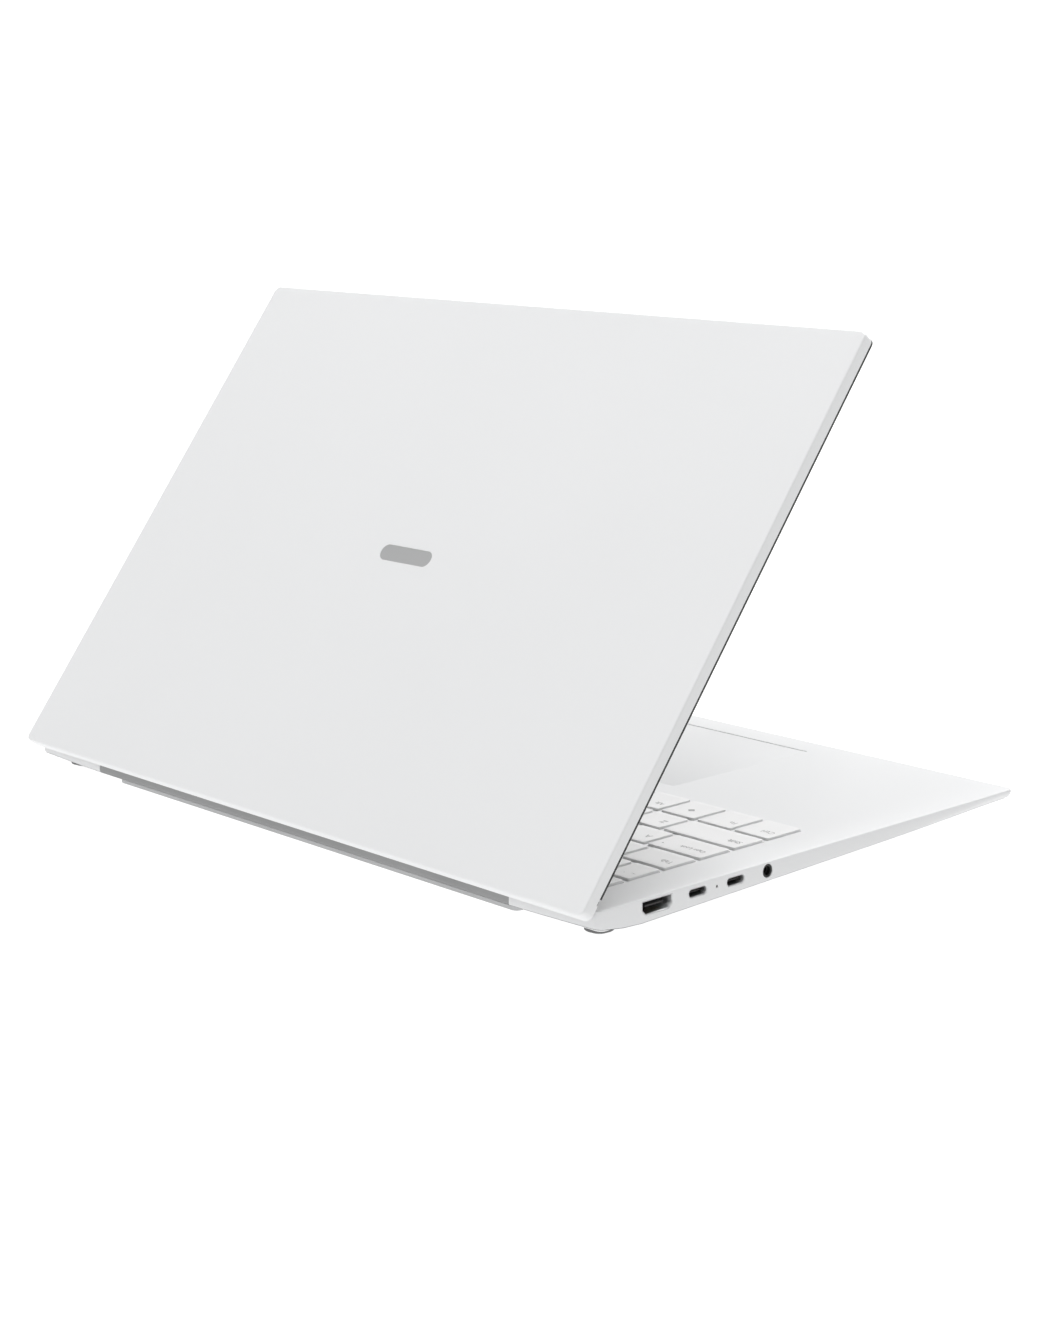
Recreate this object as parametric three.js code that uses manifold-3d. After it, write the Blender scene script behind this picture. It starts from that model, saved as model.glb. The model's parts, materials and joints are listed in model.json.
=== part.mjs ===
// Laptop computer, 16-inch class, with its lid partly open.
// Millimetres, +Z up, +X to the user's right, +Y to the rear. While the parts are being shaped,
// z = 0 is the top of the keyboard deck and x = 0 the middle.
// The lid is shaped closed and turned on its hinge.
import * as THREE from "three";
import { mergeVertices } from "three/addons/utils/BufferGeometryUtils.js";
import Module from "manifold-3d";

const wasm = await Module();
wasm.setup();

// ---------------------------------------------------------------- driving dimensions

const HALF_WIDTH = 355.9 / 2;
const CORNER_RADIUS = 3;
const FAR = 200;

// Base
const BASE_FRONT = -122;
const BASE_REAR = 116.3;
const DECK_THICKNESS = 1;
const WALL_THICKNESS = 1.6;
const EDGE_CHAMFER = 0.35;
const FRONT_WALL_DEPTH = 3.6;
const WALL_SLOPE = 0.0252;
const WALL_LEVEL_Y = 95;
const WALL_REAR_CURVE = 0.0066;
const WALL_REAR_RISE = 1.2;
const BOTTOM_Z = -10.7;
const BOTTOM_THICKNESS = 1;
const BOTTOM_FRONT = -97;
const BOTTOM_REAR = 109;
const UNDERSIDE_SLOPE = 0.27;
const FOOT_HEIGHT = 2.4;
const FOOT_RADIUS = 5.5;
const FOOT_PAD_RADIUS = 3.2;
const FOOT_PAD_HEIGHT = 1;
const FOOT_RECESS = 0.6;
const FOOT_BAR = { x: [-128, 128], y: [103.5, 109] };
const VENT = {
  halfWidth: 131.6,
  y: [114.9, 116.2],
  z: [-7.85, -4.6],
  tallHalfWidth: 104.2,
  tallTop: -1.3,
  slots: 30,
  slotZ: [-3.6, -1.7],
};
const GAP = 0.3;
const SEAM = 0.2;

// Lid, closed
const LID_FRONT = -122;
const LID_REAR = 120;
const LID_REST_Z = 0.4;
const LID_COVER_Z = 1.1;
const LID_TOP_Z = 5.97;
const LID_POCKET_Z = 4.6;
const LID_EDGE_CHAMFER = 0.45;
const BEZEL_INSET = 1.9;
const BEZEL_Z = [1.35, 1.95];
const GASKET_WIDTH = 1.6;
const GASKET_Z = [0.35, 1];
const GASKET_REAR = 111;
const HINGE_STRIP_Y = [111.9, 113.4];
const LID_RAIL_FRONT = 113.6;
const LID_POCKET_INSET = 3.2;
const EMBLEM = { halfWidth: 15.5, y: -0.5, halfDepth: 3.6, depth: 0.5 };
const CAMERA = { y: -116.1, halfWidth: 12, halfDepth: 1.8, lens: 1.2, z: 1.5 };
const SCREEN = { halfWidth: 172.3, front: -113.4, rear: 102 };
const PANEL = { halfWidth: 174.3, front: -113.9, rear: 108, z: [2.25, 4.3] };

// Hinge
const HINGE_Y = 116.53;
const HINGE_Z = -1.51;
const REST_ANGLE = 52.67;
const BARREL_RADIUS = 1.6;
const BORE_RADIUS = 1.2;
const SHAFT_RADIUS = 0.9;
const LEAF_X = [118, 126];
const KNUCKLE_X = [106, 117.7];
const WEB_HALF_DEPTH = 1.2;
const LEAF_PLATE = { x: [100, 150], y: [109.2, HINGE_Y], z: [2.3, 3.5] };
const BRACKET_PLATE = { x: [96, 134], y: [100, 112], z: [-2.9, -1.9] };
const HINGE_NOTCH = { x: [105.5, 126.5], y: [114.4, BASE_REAR + 1], z: [-3.6, 1] };

// Keyboard
const UNIT = 19.05;
const KEY_GAP = 2.1;
const OPENING_CLEARANCE = 0.3;
const KEYS_LEFT = -159.2;
const NUMPAD_PITCH = 13.55;
const NUMPAD_LEFT = KEYS_LEFT + 14 * UNIT;
const ROW_PITCH = 18.8;
const ROW_DEPTH = 16.5;
const LETTER_ROWS_FRONT = 9.8;
const MODIFIER_ROW_FRONT = -11.9;
const MODIFIER_ROW_DEPTH = 19.5;
const FUNCTION_ROW_FRONT = LETTER_ROWS_FRONT + 4 * ROW_PITCH;
const FUNCTION_ROW_DEPTH = 10;
const FUNCTION_PITCH = (14 * UNIT + 4 * NUMPAD_PITCH) / 18;
const KEY_TOP_Z = 1;
const KEY_TOP_INSET = 0.3;
const KEY_STEM = 4;
const KEY_STEM_Z = -2.3;
const ROW_WEB_Z = [-2.3, -1.7];
const ROW_WEB_MARGIN = 3;
const POWER_KEY_Z = [-1.7, 0];
const PLATE_Z = [-4.6, -4];

// Touchpad
const TOUCHPAD = { x: [-78.2, 52.8], y: [-108, -25], z: [-1.6, -0.15] };

// Left wall, besides the sockets
const JACK = { y: 28.1, z: -3.45, radius: 2.55, bore: 1.8, depth: 12 };
const LIGHT = { y: 55.65, z: -3.55, radius: 0.5, flange: 1.2 };

// Inside the base
const KEYBOARD_PLATE = { x: [-162, 162], y: [-14, 97], z: PLATE_Z };
const BATTERY = { x: [-140, 140], y: [-90, -20], z: [-9.2, -3.4] };
const SPEAKER = { x: [146, 162], y: [-86, -24], z: [-7.2, -3.2] };
const BOARD = { x: [-165, 165], y: [-8, 100], z: [-6.2, -5.3] };
const HEAT_SPREADER = { x: [-80, -44], y: [38, 70], z: [-7.5, -6.6] };
const DRIVE = { x: [-60, 20], y: [2, 24], z: [-8.6, -6.6] };
const WIRELESS_CARD = { x: [-130, -100], y: [4, 26], z: [-8, -6.6] };
const FAN = { x: 60, y: 66, radius: 27, half: 31, z: [-8.8, -5.2], outlet: 24, blades: 13, hub: 10 };
const FAN_BLADE = { size: [15.5, 0.8, 2], middle: [16.4, 2.6], tilt: 0.35, z: -7.2 };
const HEAT_SINK = { x: [32, 88], y: [99.5, 109], plateZ: [-7.6, -7], finZ: [-7.2, -5], fins: 14 };
const FIN_THICKNESS = 0.5;
const HEAT_PIPE = { halfHeight: 0.7, halfWidth: 3.5, z: -8.6 };
const HEAT_PIPE_ROUTE = [
  [-62, 52],
  [-20, 62],
  [12, 92],
  [40, 104],
  [88, 104],
];

// ---------------------------------------------------------------- solids

// A closed geometry as a manifold solid, for joining and cutting.
function solid(geometry) {
  const bare = geometry.clone();
  bare.deleteAttribute("normal");
  bare.deleteAttribute("uv");
  const merged = mergeVertices(bare, 1e-4);
  return new wasm.Manifold(
    new wasm.Mesh({
      numProp: 3,
      vertProperties: merged.attributes.position.array,
      triVerts: new Uint32Array(merged.index.array),
    }),
  );
}

// A manifold solid as a geometry with flat faces.
function geometryOf(body) {
  const mesh = body.getMesh();
  const geometry = new THREE.BufferGeometry();
  geometry.setAttribute("position", new THREE.BufferAttribute(mesh.vertProperties, 3));
  geometry.setIndex(new THREE.BufferAttribute(mesh.triVerts, 1));
  const flat = geometry.toNonIndexed();
  flat.computeVertexNormals();
  return flat;
}

function box([x0, x1], [y0, y1], [z0, z1]) {
  const geometry = new THREE.BoxGeometry(x1 - x0, y1 - y0, z1 - z0);
  geometry.translate((x0 + x1) / 2, (y0 + y1) / 2, (z0 + z1) / 2);
  return solid(geometry);
}

const block = ({ x, y, z }) => box(x, y, z);

// A span along X, mirrored to the left for side -1.
function onSide(side, [x0, x1]) {
  return side < 0 ? [-x1, -x0] : [x0, x1];
}

function shapeOf(points) {
  return new THREE.Shape(points.map(([x, y]) => new THREE.Vector2(x, y)));
}

// A flat outline in X and Y, raised from z0 to z1.
function slab(points, [z0, z1]) {
  const geometry = new THREE.ExtrudeGeometry(shapeOf(points), { depth: z1 - z0, bevelEnabled: false });
  geometry.translate(0, 0, z0);
  return solid(geometry);
}

// A flat outline in Y and Z, drawn out along X from x0 to x1.
function bar(points, [x0, x1]) {
  const geometry = new THREE.ExtrudeGeometry(shapeOf(points), { depth: x1 - x0, bevelEnabled: false });
  geometry.translate(0, 0, x0);
  const axes = [new THREE.Vector3(0, 1, 0), new THREE.Vector3(0, 0, 1), new THREE.Vector3(1, 0, 0)];
  geometry.applyMatrix4(new THREE.Matrix4().makeBasis(...axes));
  return solid(geometry);
}

// A rectangle with round corners, counter-clockwise, as points.
function roundedRectangle([x0, x1], [y0, y1], radius, steps = 5) {
  const corners = [
    [x1 - radius, y1 - radius, 0],
    [x0 + radius, y1 - radius, 90],
    [x0 + radius, y0 + radius, 180],
    [x1 - radius, y0 + radius, 270],
  ];
  return corners.flatMap(([cx, cy, start]) =>
    Array.from({ length: steps + 1 }, (_, i) => {
      const angle = THREE.MathUtils.degToRad(start + (90 * i) / steps);
      return [cx + radius * Math.cos(angle), cy + radius * Math.sin(angle)];
    }),
  );
}

function circle(cx, cy, radius, steps = 24) {
  return Array.from({ length: steps }, (_, i) => {
    const angle = (2 * Math.PI * i) / steps;
    return [cx + radius * Math.cos(angle), cy + radius * Math.sin(angle)];
  });
}

// A closed skin through rings of [x, y, z] points, listed from the lowest ring up.
function loft(rings) {
  const count = rings[0].length;
  const cap = THREE.ShapeUtils.triangulateShape(
    rings[0].map(([x, y]) => new THREE.Vector2(x, y)),
    [],
  );
  const index = [];
  rings.slice(1).forEach((_, level) => {
    for (let i = 0; i < count; i++) {
      const a = level * count + i;
      const b = level * count + ((i + 1) % count);
      index.push(a, b, b + count, a, b + count, a + count);
    }
  });
  const top = (rings.length - 1) * count;
  cap.forEach(([a, b, c]) => index.push(a, c, b, top + a, top + b, top + c));
  const geometry = new THREE.BufferGeometry();
  geometry.setAttribute("position", new THREE.Float32BufferAttribute(rings.flat(2), 3));
  geometry.setIndex(index);
  return solid(geometry);
}

function cut(body, ...tools) {
  return tools.reduce((rest, tool) => rest.subtract(tool), body);
}

function join(...bodies) {
  return bodies.reduce((all, body) => all.add(body));
}

const FINISHES = {
  white: { color: 0xe6e8ea, roughness: 0.42, metalness: 0 },
  key: { color: 0xe4e6e7, roughness: 0.55, metalness: 0 },
  dark: { color: 0x1a1b1d, roughness: 0.5, metalness: 0 },
  grey: { color: 0x8c9093, roughness: 0.55, metalness: 0 },
  glass: { color: 0x0b0c0e, roughness: 0.25, metalness: 0 },
  steel: { color: 0xb4b7ba, roughness: 0.35, metalness: 1 },
  copper: { color: 0xb8734a, roughness: 0.35, metalness: 1 },
  board: { color: 0x14402c, roughness: 0.5, metalness: 0 },
  rubber: { color: 0xb9bcbd, roughness: 0.8, metalness: 0 },
};

function piece(name, finish, body) {
  const mesh = new THREE.Mesh(geometryOf(body), new THREE.MeshStandardMaterial(FINISHES[finish]));
  mesh.name = name;
  return mesh;
}

// ---------------------------------------------------------------- base casing

// The plan outline of the base, moved inwards.
function baseOutline(inset) {
  const halfWidth = HALF_WIDTH - inset;
  const radius = Math.max(CORNER_RADIUS - inset, 1);
  return roundedRectangle([-halfWidth, halfWidth], [BASE_FRONT + inset, BASE_REAR - inset], radius);
}

function wallDepth(y) {
  return FRONT_WALL_DEPTH + WALL_SLOPE * (Math.min(y, WALL_LEVEL_Y) - BASE_FRONT);
}

// Height of the side wall's lower edge: thin at the front, deepest near the rear, then rising again.
function wallBottom(y) {
  const past = Math.max(y - WALL_LEVEL_Y, 0);
  return Math.min(WALL_REAR_CURVE * past * past, WALL_REAR_RISE) - wallDepth(y);
}

// Places along the side where the lower edge changes its slope.
const SIDE_STATIONS = [0, WALL_LEVEL_Y, 98, 101, 104, 106.5, 108.5];

// Everything between the side wall's lower edge, shifted by an amount, and a level far above or below it.
function sideProfile(shift, far) {
  const ends = [BASE_FRONT - 1, BASE_REAR + 1];
  const edge = [ends[0], ...SIDE_STATIONS, ends[1]].map((y) => [y, wallBottom(y) + shift]);
  return bar([[ends[0], far], ...edge, [ends[1], far]], [-FAR, FAR]);
}

// Adds the stations along the two long sides of an outline, so that a lower edge can follow its curve.
function withSidePoints(points) {
  return points.flatMap((point, i) => {
    const next = points[(i + 1) % points.length];
    if (Math.abs(next[1] - point[1]) < UNIT) return [point];
    const between = SIDE_STATIONS.map((y) => [point[0], y]);
    return [point, ...(next[1] > point[1] ? between : between.reverse())];
  });
}

function keyOpenings(keys) {
  return keys.map(({ x, y }) => {
    const wide = [x[0] - OPENING_CLEARANCE, x[1] + OPENING_CLEARANCE];
    const deep = [y[0] - OPENING_CLEARANCE, y[1] + OPENING_CLEARANCE];
    return box(wide, deep, [-DECK_THICKNESS - 1, 1]);
  });
}

// The notch in the rear edge where one hinge turns.
function hingeNotch(side) {
  return box(onSide(side, HINGE_NOTCH.x), HINGE_NOTCH.y, HINGE_NOTCH.z);
}

// The rear grille's two overlapping bars, grown by an amount, between two distances to the rear.
function ventBars(amount, y) {
  const wide = VENT.halfWidth + amount;
  const tall = VENT.tallHalfWidth + amount;
  return join(
    box([-wide, wide], y, [VENT.z[0] - amount, VENT.z[1] + amount]),
    box([-tall, tall], y, [VENT.z[0] - amount, VENT.tallTop + amount]),
  );
}

function topCase(keys, ports) {
  const outline = baseOutline(0);
  const casing = loft([
    outline.map(([x, y]) => [x, y, BOTTOM_Z]),
    outline.map(([x, y]) => [x, y, -EDGE_CHAMFER]),
    baseOutline(EDGE_CHAMFER).map(([x, y]) => [x, y, 0]),
  ]);
  const shell = casing.intersect(sideProfile(0, -BOTTOM_Z));
  const hollow = slab(baseOutline(WALL_THICKNESS), [2 * BOTTOM_Z, -DECK_THICKNESS]);
  const touchpadHole = box(
    [TOUCHPAD.x[0] - GAP, TOUCHPAD.x[1] + GAP],
    [TOUCHPAD.y[0] - GAP, TOUCHPAD.y[1] + GAP],
    [-DECK_THICKNESS - 1, 1],
  );
  const ventHole = ventBars(SEAM, [BASE_REAR - WALL_THICKNESS - 1, BASE_REAR + 1]);
  const holes = [...keyOpenings(keys), touchpadHole, ventHole, hingeNotch(1), hingeNotch(-1)];
  return cut(shell, hollow, ...holes, ...ports.map((port) => port.hole));
}

const FEET = [
  ["foot_front_left", -128, -82],
  ["foot_front_right", 128, -82],
  ["foot_rear_left", -165, 103],
  ["foot_rear_right", 165, 103],
];

// A shallow dish whose flat floor is well inside the outline at the front and close to it at the rear.
function bottomCover() {
  const rim = withSidePoints(baseOutline(SEAM)).map(([x, y]) => [x, y, wallBottom(y) - SEAM]);
  const floor = rim.map(([x, y]) => {
    const along = THREE.MathUtils.mapLinear(y, BASE_FRONT, BASE_REAR, BOTTOM_FRONT, BOTTOM_REAR);
    const inset = (-wallDepth(along) - BOTTOM_Z) / UNDERSIDE_SLOPE;
    return [(x * (HALF_WIDTH - inset)) / HALF_WIDTH, along, BOTTOM_Z];
  });
  const above = rim.map(([x, y]) => [x, y, 0]);
  const outer = loft([floor, rim, above]);
  const dish = outer.intersect(sideProfile(-SEAM, 2 * BOTTOM_Z));
  const inner = outer.translate([0, 0, BOTTOM_THICKNESS]);
  const recessZ = [BOTTOM_Z - 1, BOTTOM_Z + FOOT_RECESS];
  const recesses = FEET.map(([, x, y]) => slab(circle(x, y, FOOT_RADIUS + GAP), recessZ));
  return cut(dish, inner, ...recesses, slab(footBarOutline(GAP), recessZ));
}

// A round foot: a disc in its recess, with a smaller pad under it.
function foot(x, y) {
  const low = BOTTOM_Z - FOOT_HEIGHT;
  const step = low + FOOT_PAD_HEIGHT;
  const rings = [
    [FOOT_PAD_RADIUS - 0.3, low],
    [FOOT_PAD_RADIUS, low + 0.3],
    [FOOT_PAD_RADIUS, step],
    [FOOT_RADIUS - 0.3, step],
    [FOOT_RADIUS, step + 0.3],
    [FOOT_RADIUS, BOTTOM_Z + FOOT_RECESS - GAP],
  ];
  return loft(rings.map(([radius, z]) => circle(x, y, radius).map(([px, py]) => [px, py, z])));
}

function footBarOutline(amount) {
  const [x, y] = [FOOT_BAR.x, FOOT_BAR.y].map(([low, high]) => [low - amount, high + amount]);
  return roundedRectangle(x, y, (y[1] - y[0]) / 2 - 0.01);
}

// The grille in the rear wall: plain below, with a row of slots in the part behind the lid's edge.
function rearVent() {
  const pitch = (2 * VENT.tallHalfWidth) / (VENT.slots + 1);
  const openings = Array.from({ length: VENT.slots }, (_, i) => {
    const middle = (i - (VENT.slots - 1) / 2) * pitch;
    const x = [middle - pitch / 3, middle + pitch / 3];
    return box(x, [VENT.y[0] - 1, VENT.y[1] + 1], VENT.slotZ);
  });
  return cut(ventBars(0, VENT.y), ...openings);
}

// ---------------------------------------------------------------- keyboard

// A row of keys side by side, from the pitch of each key.
function keyRow(pitches, left, front, depth) {
  let x = left;
  return pitches.map((pitch) => {
    const key = { x: [x, x + pitch - KEY_GAP], y: [front, front + depth] };
    x += pitch;
    return key;
  });
}

function repeat(value, count) {
  return Array.from({ length: count }, () => value);
}

const letterRow = (pitches, row) =>
  keyRow(pitches, KEYS_LEFT, LETTER_ROWS_FRONT + row * ROW_PITCH, ROW_DEPTH);

// The main block is 14 units wide. The wide keys at the ends of a row take up what the others leave.
const functionRow = keyRow(repeat(FUNCTION_PITCH, 18), KEYS_LEFT, FUNCTION_ROW_FRONT, FUNCTION_ROW_DEPTH);
const numberRow = letterRow([14.2, ...repeat(UNIT, 12), 2 * UNIT - 14.2], 3);
const tabRow = letterRow([24.15, ...repeat(UNIT, 12), 2 * UNIT - 24.15], 2);
const capsRow = letterRow([29.35, ...repeat(UNIT, 11), 3 * UNIT - 29.35], 1);
const shiftRow = letterRow([39.3, ...repeat(UNIT, 10), 4 * UNIT - 39.3], 0);
const SIDE_KEY_PITCH = 19.57;
const ARROW_PITCH = (14 * UNIT - 4 * SIDE_KEY_PITCH - 7 * UNIT) / 3;
const modifierRow = keyRow(
  [...repeat(SIDE_KEY_PITCH, 4), 5 * UNIT, UNIT, UNIT, ...repeat(ARROW_PITCH, 3)],
  KEYS_LEFT,
  MODIFIER_ROW_FRONT,
  MODIFIER_ROW_DEPTH,
);

// The up and down arrows share one place, each half as deep.
function splitArrows(row) {
  const middle = row[8];
  const depth = (MODIFIER_ROW_DEPTH - KEY_GAP) / 2;
  const down = { x: middle.x, y: [middle.y[0], middle.y[0] + depth] };
  const up = { x: middle.x, y: [middle.y[1] - depth, middle.y[1]] };
  return [...row.slice(0, 8), down, up, row[9]];
}

// The numeric pad: four columns, with two tall keys at the right and one wide key at the front.
function numberPad() {
  const fronts = [0, 1, 2, 3].map((row) => LETTER_ROWS_FRONT + row * ROW_PITCH);
  const full = keyRow(repeat(NUMPAD_PITCH, 4), NUMPAD_LEFT, fronts[3], ROW_DEPTH);
  const threes = [2, 1, 0].flatMap((row) =>
    keyRow(repeat(NUMPAD_PITCH, 3), NUMPAD_LEFT, fronts[row], ROW_DEPTH),
  );
  const tall = [
    { x: full[3].x, y: [fronts[1], fronts[2] + ROW_DEPTH] },
    { x: full[3].x, y: [MODIFIER_ROW_FRONT, fronts[0] + ROW_DEPTH] },
  ];
  const front = keyRow(
    [2 * NUMPAD_PITCH, NUMPAD_PITCH],
    NUMPAD_LEFT,
    MODIFIER_ROW_FRONT,
    MODIFIER_ROW_DEPTH,
  );
  return [...full, ...threes, ...tall, ...front];
}

const powerKey = functionRow[17];
const bottomRow = splitArrows(modifierRow);
const singleKeys = {
  key_escape: functionRow[0],
  key_backquote: numberRow[0],
  key_tab: tabRow[0],
  key_caps_lock: capsRow[0],
  key_enter: capsRow[12],
  key_shift_left: shiftRow[0],
  key_control_left: bottomRow[0],
  key_fn: bottomRow[1],
  key_menu: bottomRow[2],
  key_alt_left: bottomRow[3],
  key_space: bottomRow[4],
};
const keyGroups = {
  keys_function_row: functionRow.slice(1, 17),
  keys_number_row: numberRow.slice(1),
  keys_upper_letters: tabRow.slice(1),
  keys_middle_letters: capsRow.slice(1, 12),
  keys_lower_letters: shiftRow.slice(1),
  keys_right_of_space: bottomRow.slice(5),
  keys_number_pad: numberPad(),
};
const allKeys = [...Object.values(singleKeys), ...Object.values(keyGroups).flat()];

// A keycap with sloped upper edges, and the stem under it.
function keycap({ x, y }) {
  const ring = (inset, z) =>
    [
      [x[0] + inset, y[0] + inset],
      [x[1] - inset, y[0] + inset],
      [x[1] - inset, y[1] - inset],
      [x[0] + inset, y[1] - inset],
    ].map(([px, py]) => [px, py, z]);
  const cap = loft([
    ring(0, -DECK_THICKNESS),
    ring(0, KEY_TOP_Z - KEY_TOP_INSET),
    ring(KEY_TOP_INSET, KEY_TOP_Z),
  ]);
  const [cx, cy] = [(x[0] + x[1]) / 2, (y[0] + y[1]) / 2];
  const half = KEY_STEM / 2;
  const stem = box([cx - half, cx + half], [cy - half, cy + half], [KEY_STEM_Z, 0]);
  return join(cap, stem);
}

// Keys that share one carrier under the deck and move together.
function keyGroup(keys) {
  const xs = keys.flatMap((key) => key.x);
  const ys = keys.flatMap((key) => key.y);
  const web = box(
    [Math.min(...xs) + ROW_WEB_MARGIN, Math.max(...xs) - ROW_WEB_MARGIN],
    [Math.min(...ys) + ROW_WEB_MARGIN, Math.max(...ys) - ROW_WEB_MARGIN],
    ROW_WEB_Z,
  );
  return join(web, ...keys.map(keycap));
}

// ---------------------------------------------------------------- ports

// Distances in from the outer face of a side wall, as a span along X on that side.
function inward(side, [near, far]) {
  return onSide(side, [HALF_WIDTH - far, HALF_WIDTH - near]);
}

// A port's hole runs from outside the wall to just past the port, so that it also clears the deck above.
const cutout = (side, back) => inward(side, [-1, back + GAP]);

// The same outline, grown outwards by an amount on each side of its own middle.
function grown(outline, size, amount) {
  const [width, height] = size;
  return outline([width + 2 * amount, height + 2 * amount]);
}

// Openings that lie in a side wall, centred on y and z, as functions of their size.
const stadium = (y, z) => ([width, height]) =>
  roundedRectangle([y - width / 2, y + width / 2], [z - height / 2, z + height / 2], height / 2 - 0.01, 4);
const rectangle = (y, z) => ([width, height]) =>
  roundedRectangle([y - width / 2, y + width / 2], [z - height / 2, z + height / 2], 0.3, 1);
const keystone = (y, z) => ([width, height]) => {
  const [left, right, low, high] = [y - width / 2, y + width / 2, z - height / 2, z + height / 2];
  const slant = 0.35 * height;
  return [
    [left + slant, low],
    [right - slant, low],
    [right, low + slant],
    [right, high],
    [left, high],
    [left, low + slant],
  ];
};

const HDMI = { opening: [14.6, 4.4], shell: 0.35, depth: 11, form: keystone, tongue: [9.5, 1] };
const USB_C = { opening: [8.9, 2.6], shell: 0.3, depth: 8, form: stadium, tongue: [6.6, 0.7] };
const USB_A = { opening: [13.1, 4.8], shell: 0.35, depth: 12, form: rectangle, tongue: [11, 1.6] };
const CARD = { opening: [12, 1.6], shell: 0.3, depth: 12, form: rectangle, tongue: [2, 0.4] };
const PORTS = [
  { name: "hdmi_port", side: -1, y: 86.7, z: -3.72, ...HDMI },
  { name: "usb_c_port_rear", side: -1, y: 65.75, z: -3.48, ...USB_C },
  { name: "usb_c_port_front", side: -1, y: 45.6, z: -3.48, ...USB_C },
  { name: "usb_a_port_rear", side: 1, y: 80, z: -4.1, ...USB_A },
  { name: "usb_a_port_front", side: 1, y: 58, z: -4.1, ...USB_A },
  { name: "card_slot", side: 1, y: 34, z: -3.5, ...CARD },
];
const TONGUE_SETBACK = 1.5;

// A metal shell with its contact tongue, and the hole that it needs in the wall.
function port({ name, side, y, z, opening, shell, depth, form, tongue }) {
  const outline = form(y, z);
  const back = GAP + depth;
  const body = bar(grown(outline, opening, shell), inward(side, [GAP, back]));
  const socket = bar(outline(opening), inward(side, [GAP - 1, back - 1]));
  const blade = box(
    inward(side, [GAP + TONGUE_SETBACK, back - 0.5]),
    [y - tongue[0] / 2, y + tongue[0] / 2],
    [z - tongue[1] / 2, z + tongue[1] / 2],
  );
  return {
    name,
    body: join(cut(body, socket), blade),
    hole: bar(grown(outline, opening, shell + SEAM), cutout(side, back)),
  };
}

function audioJack() {
  const back = GAP + JACK.depth;
  const barrel = bar(circle(JACK.y, JACK.z, JACK.radius), inward(-1, [GAP, back]));
  const bore = bar(circle(JACK.y, JACK.z, JACK.bore), inward(-1, [GAP - 1, back - 1]));
  return {
    name: "audio_jack",
    body: cut(barrel, bore),
    hole: bar(circle(JACK.y, JACK.z, JACK.radius + SEAM), cutout(-1, back)),
  };
}

// A light guide with a flange behind the wall.
function chargeLight() {
  return {
    name: "charge_light",
    body: join(
      bar(circle(LIGHT.y, LIGHT.z, LIGHT.radius, 12), inward(-1, [GAP, GAP + 3])),
      bar(circle(LIGHT.y, LIGHT.z, LIGHT.flange, 12), inward(-1, [GAP + 2, GAP + 4])),
    ),
    hole: bar(circle(LIGHT.y, LIGHT.z, LIGHT.radius + SEAM, 12), cutout(-1, GAP + 1)),
  };
}

// The slot for a cable lock, on the right-hand wall.
const lockSlot = bar(rectangle(101, -3.6)([7, 3]), cutout(1, WALL_THICKNESS));

// ---------------------------------------------------------------- inside the base

const FAN_FLOOR = [FAN.z[0] - 1, FAN.z[1] - 0.5];

// A span on both sides of a middle value.
function around(middle, half) {
  return [middle - half, middle + half];
}

function motherboard() {
  const clearance = FAN.half + 4;
  const fanSpace = box(around(FAN.x, clearance), [FAN.y - clearance, BOARD.y[1] + 1], around(BOARD.z[0], 2));
  return cut(block(BOARD), fanSpace);
}

function fanHousing() {
  const casing = box(around(FAN.x, FAN.half), around(FAN.y, FAN.half), FAN.z);
  const well = slab(circle(FAN.x, FAN.y, FAN.radius, 32), FAN_FLOOR);
  const outlet = box(around(FAN.x, FAN.outlet), [FAN.y, FAN.y + FAN.half + 1], FAN_FLOOR);
  return cut(casing, well, outlet);
}

function fanRotor() {
  const hub = slab(circle(FAN.x, FAN.y, FAN.hub, 2 * FAN.blades), around(FAN_BLADE.z, 1.2));
  const made = Array.from({ length: FAN.blades }, (_, i) => {
    const geometry = new THREE.BoxGeometry(...FAN_BLADE.size);
    geometry.rotateZ(FAN_BLADE.tilt);
    geometry.translate(...FAN_BLADE.middle, 0);
    geometry.rotateZ((2 * Math.PI * i) / FAN.blades);
    geometry.translate(FAN.x, FAN.y, FAN_BLADE.z);
    return solid(geometry);
  });
  return join(hub, ...made);
}

// A flattened tube from the processor to the fins behind the fan.
function heatPipe() {
  const points = HEAT_PIPE_ROUTE.map(([x, y]) => new THREE.Vector3(x, y, HEAT_PIPE.z));
  const section = new THREE.Shape();
  section.absellipse(0, 0, HEAT_PIPE.halfHeight, HEAT_PIPE.halfWidth, 0, 2 * Math.PI, false, 0);
  const extrudePath = new THREE.CatmullRomCurve3(points);
  return solid(new THREE.ExtrudeGeometry(section, { steps: 24, curveSegments: 5, extrudePath }));
}

function heatSink() {
  const { x, y, plateZ, finZ, fins } = HEAT_SINK;
  const pitch = (x[1] - x[0] - 3) / (fins - 1);
  const made = Array.from({ length: fins }, (_, i) => {
    const start = x[0] + 1 + pitch * i;
    return box([start, start + FIN_THICKNESS], y, finZ);
  });
  return join(box(x, y, plateZ), ...made);
}

// ---------------------------------------------------------------- hinges

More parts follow.
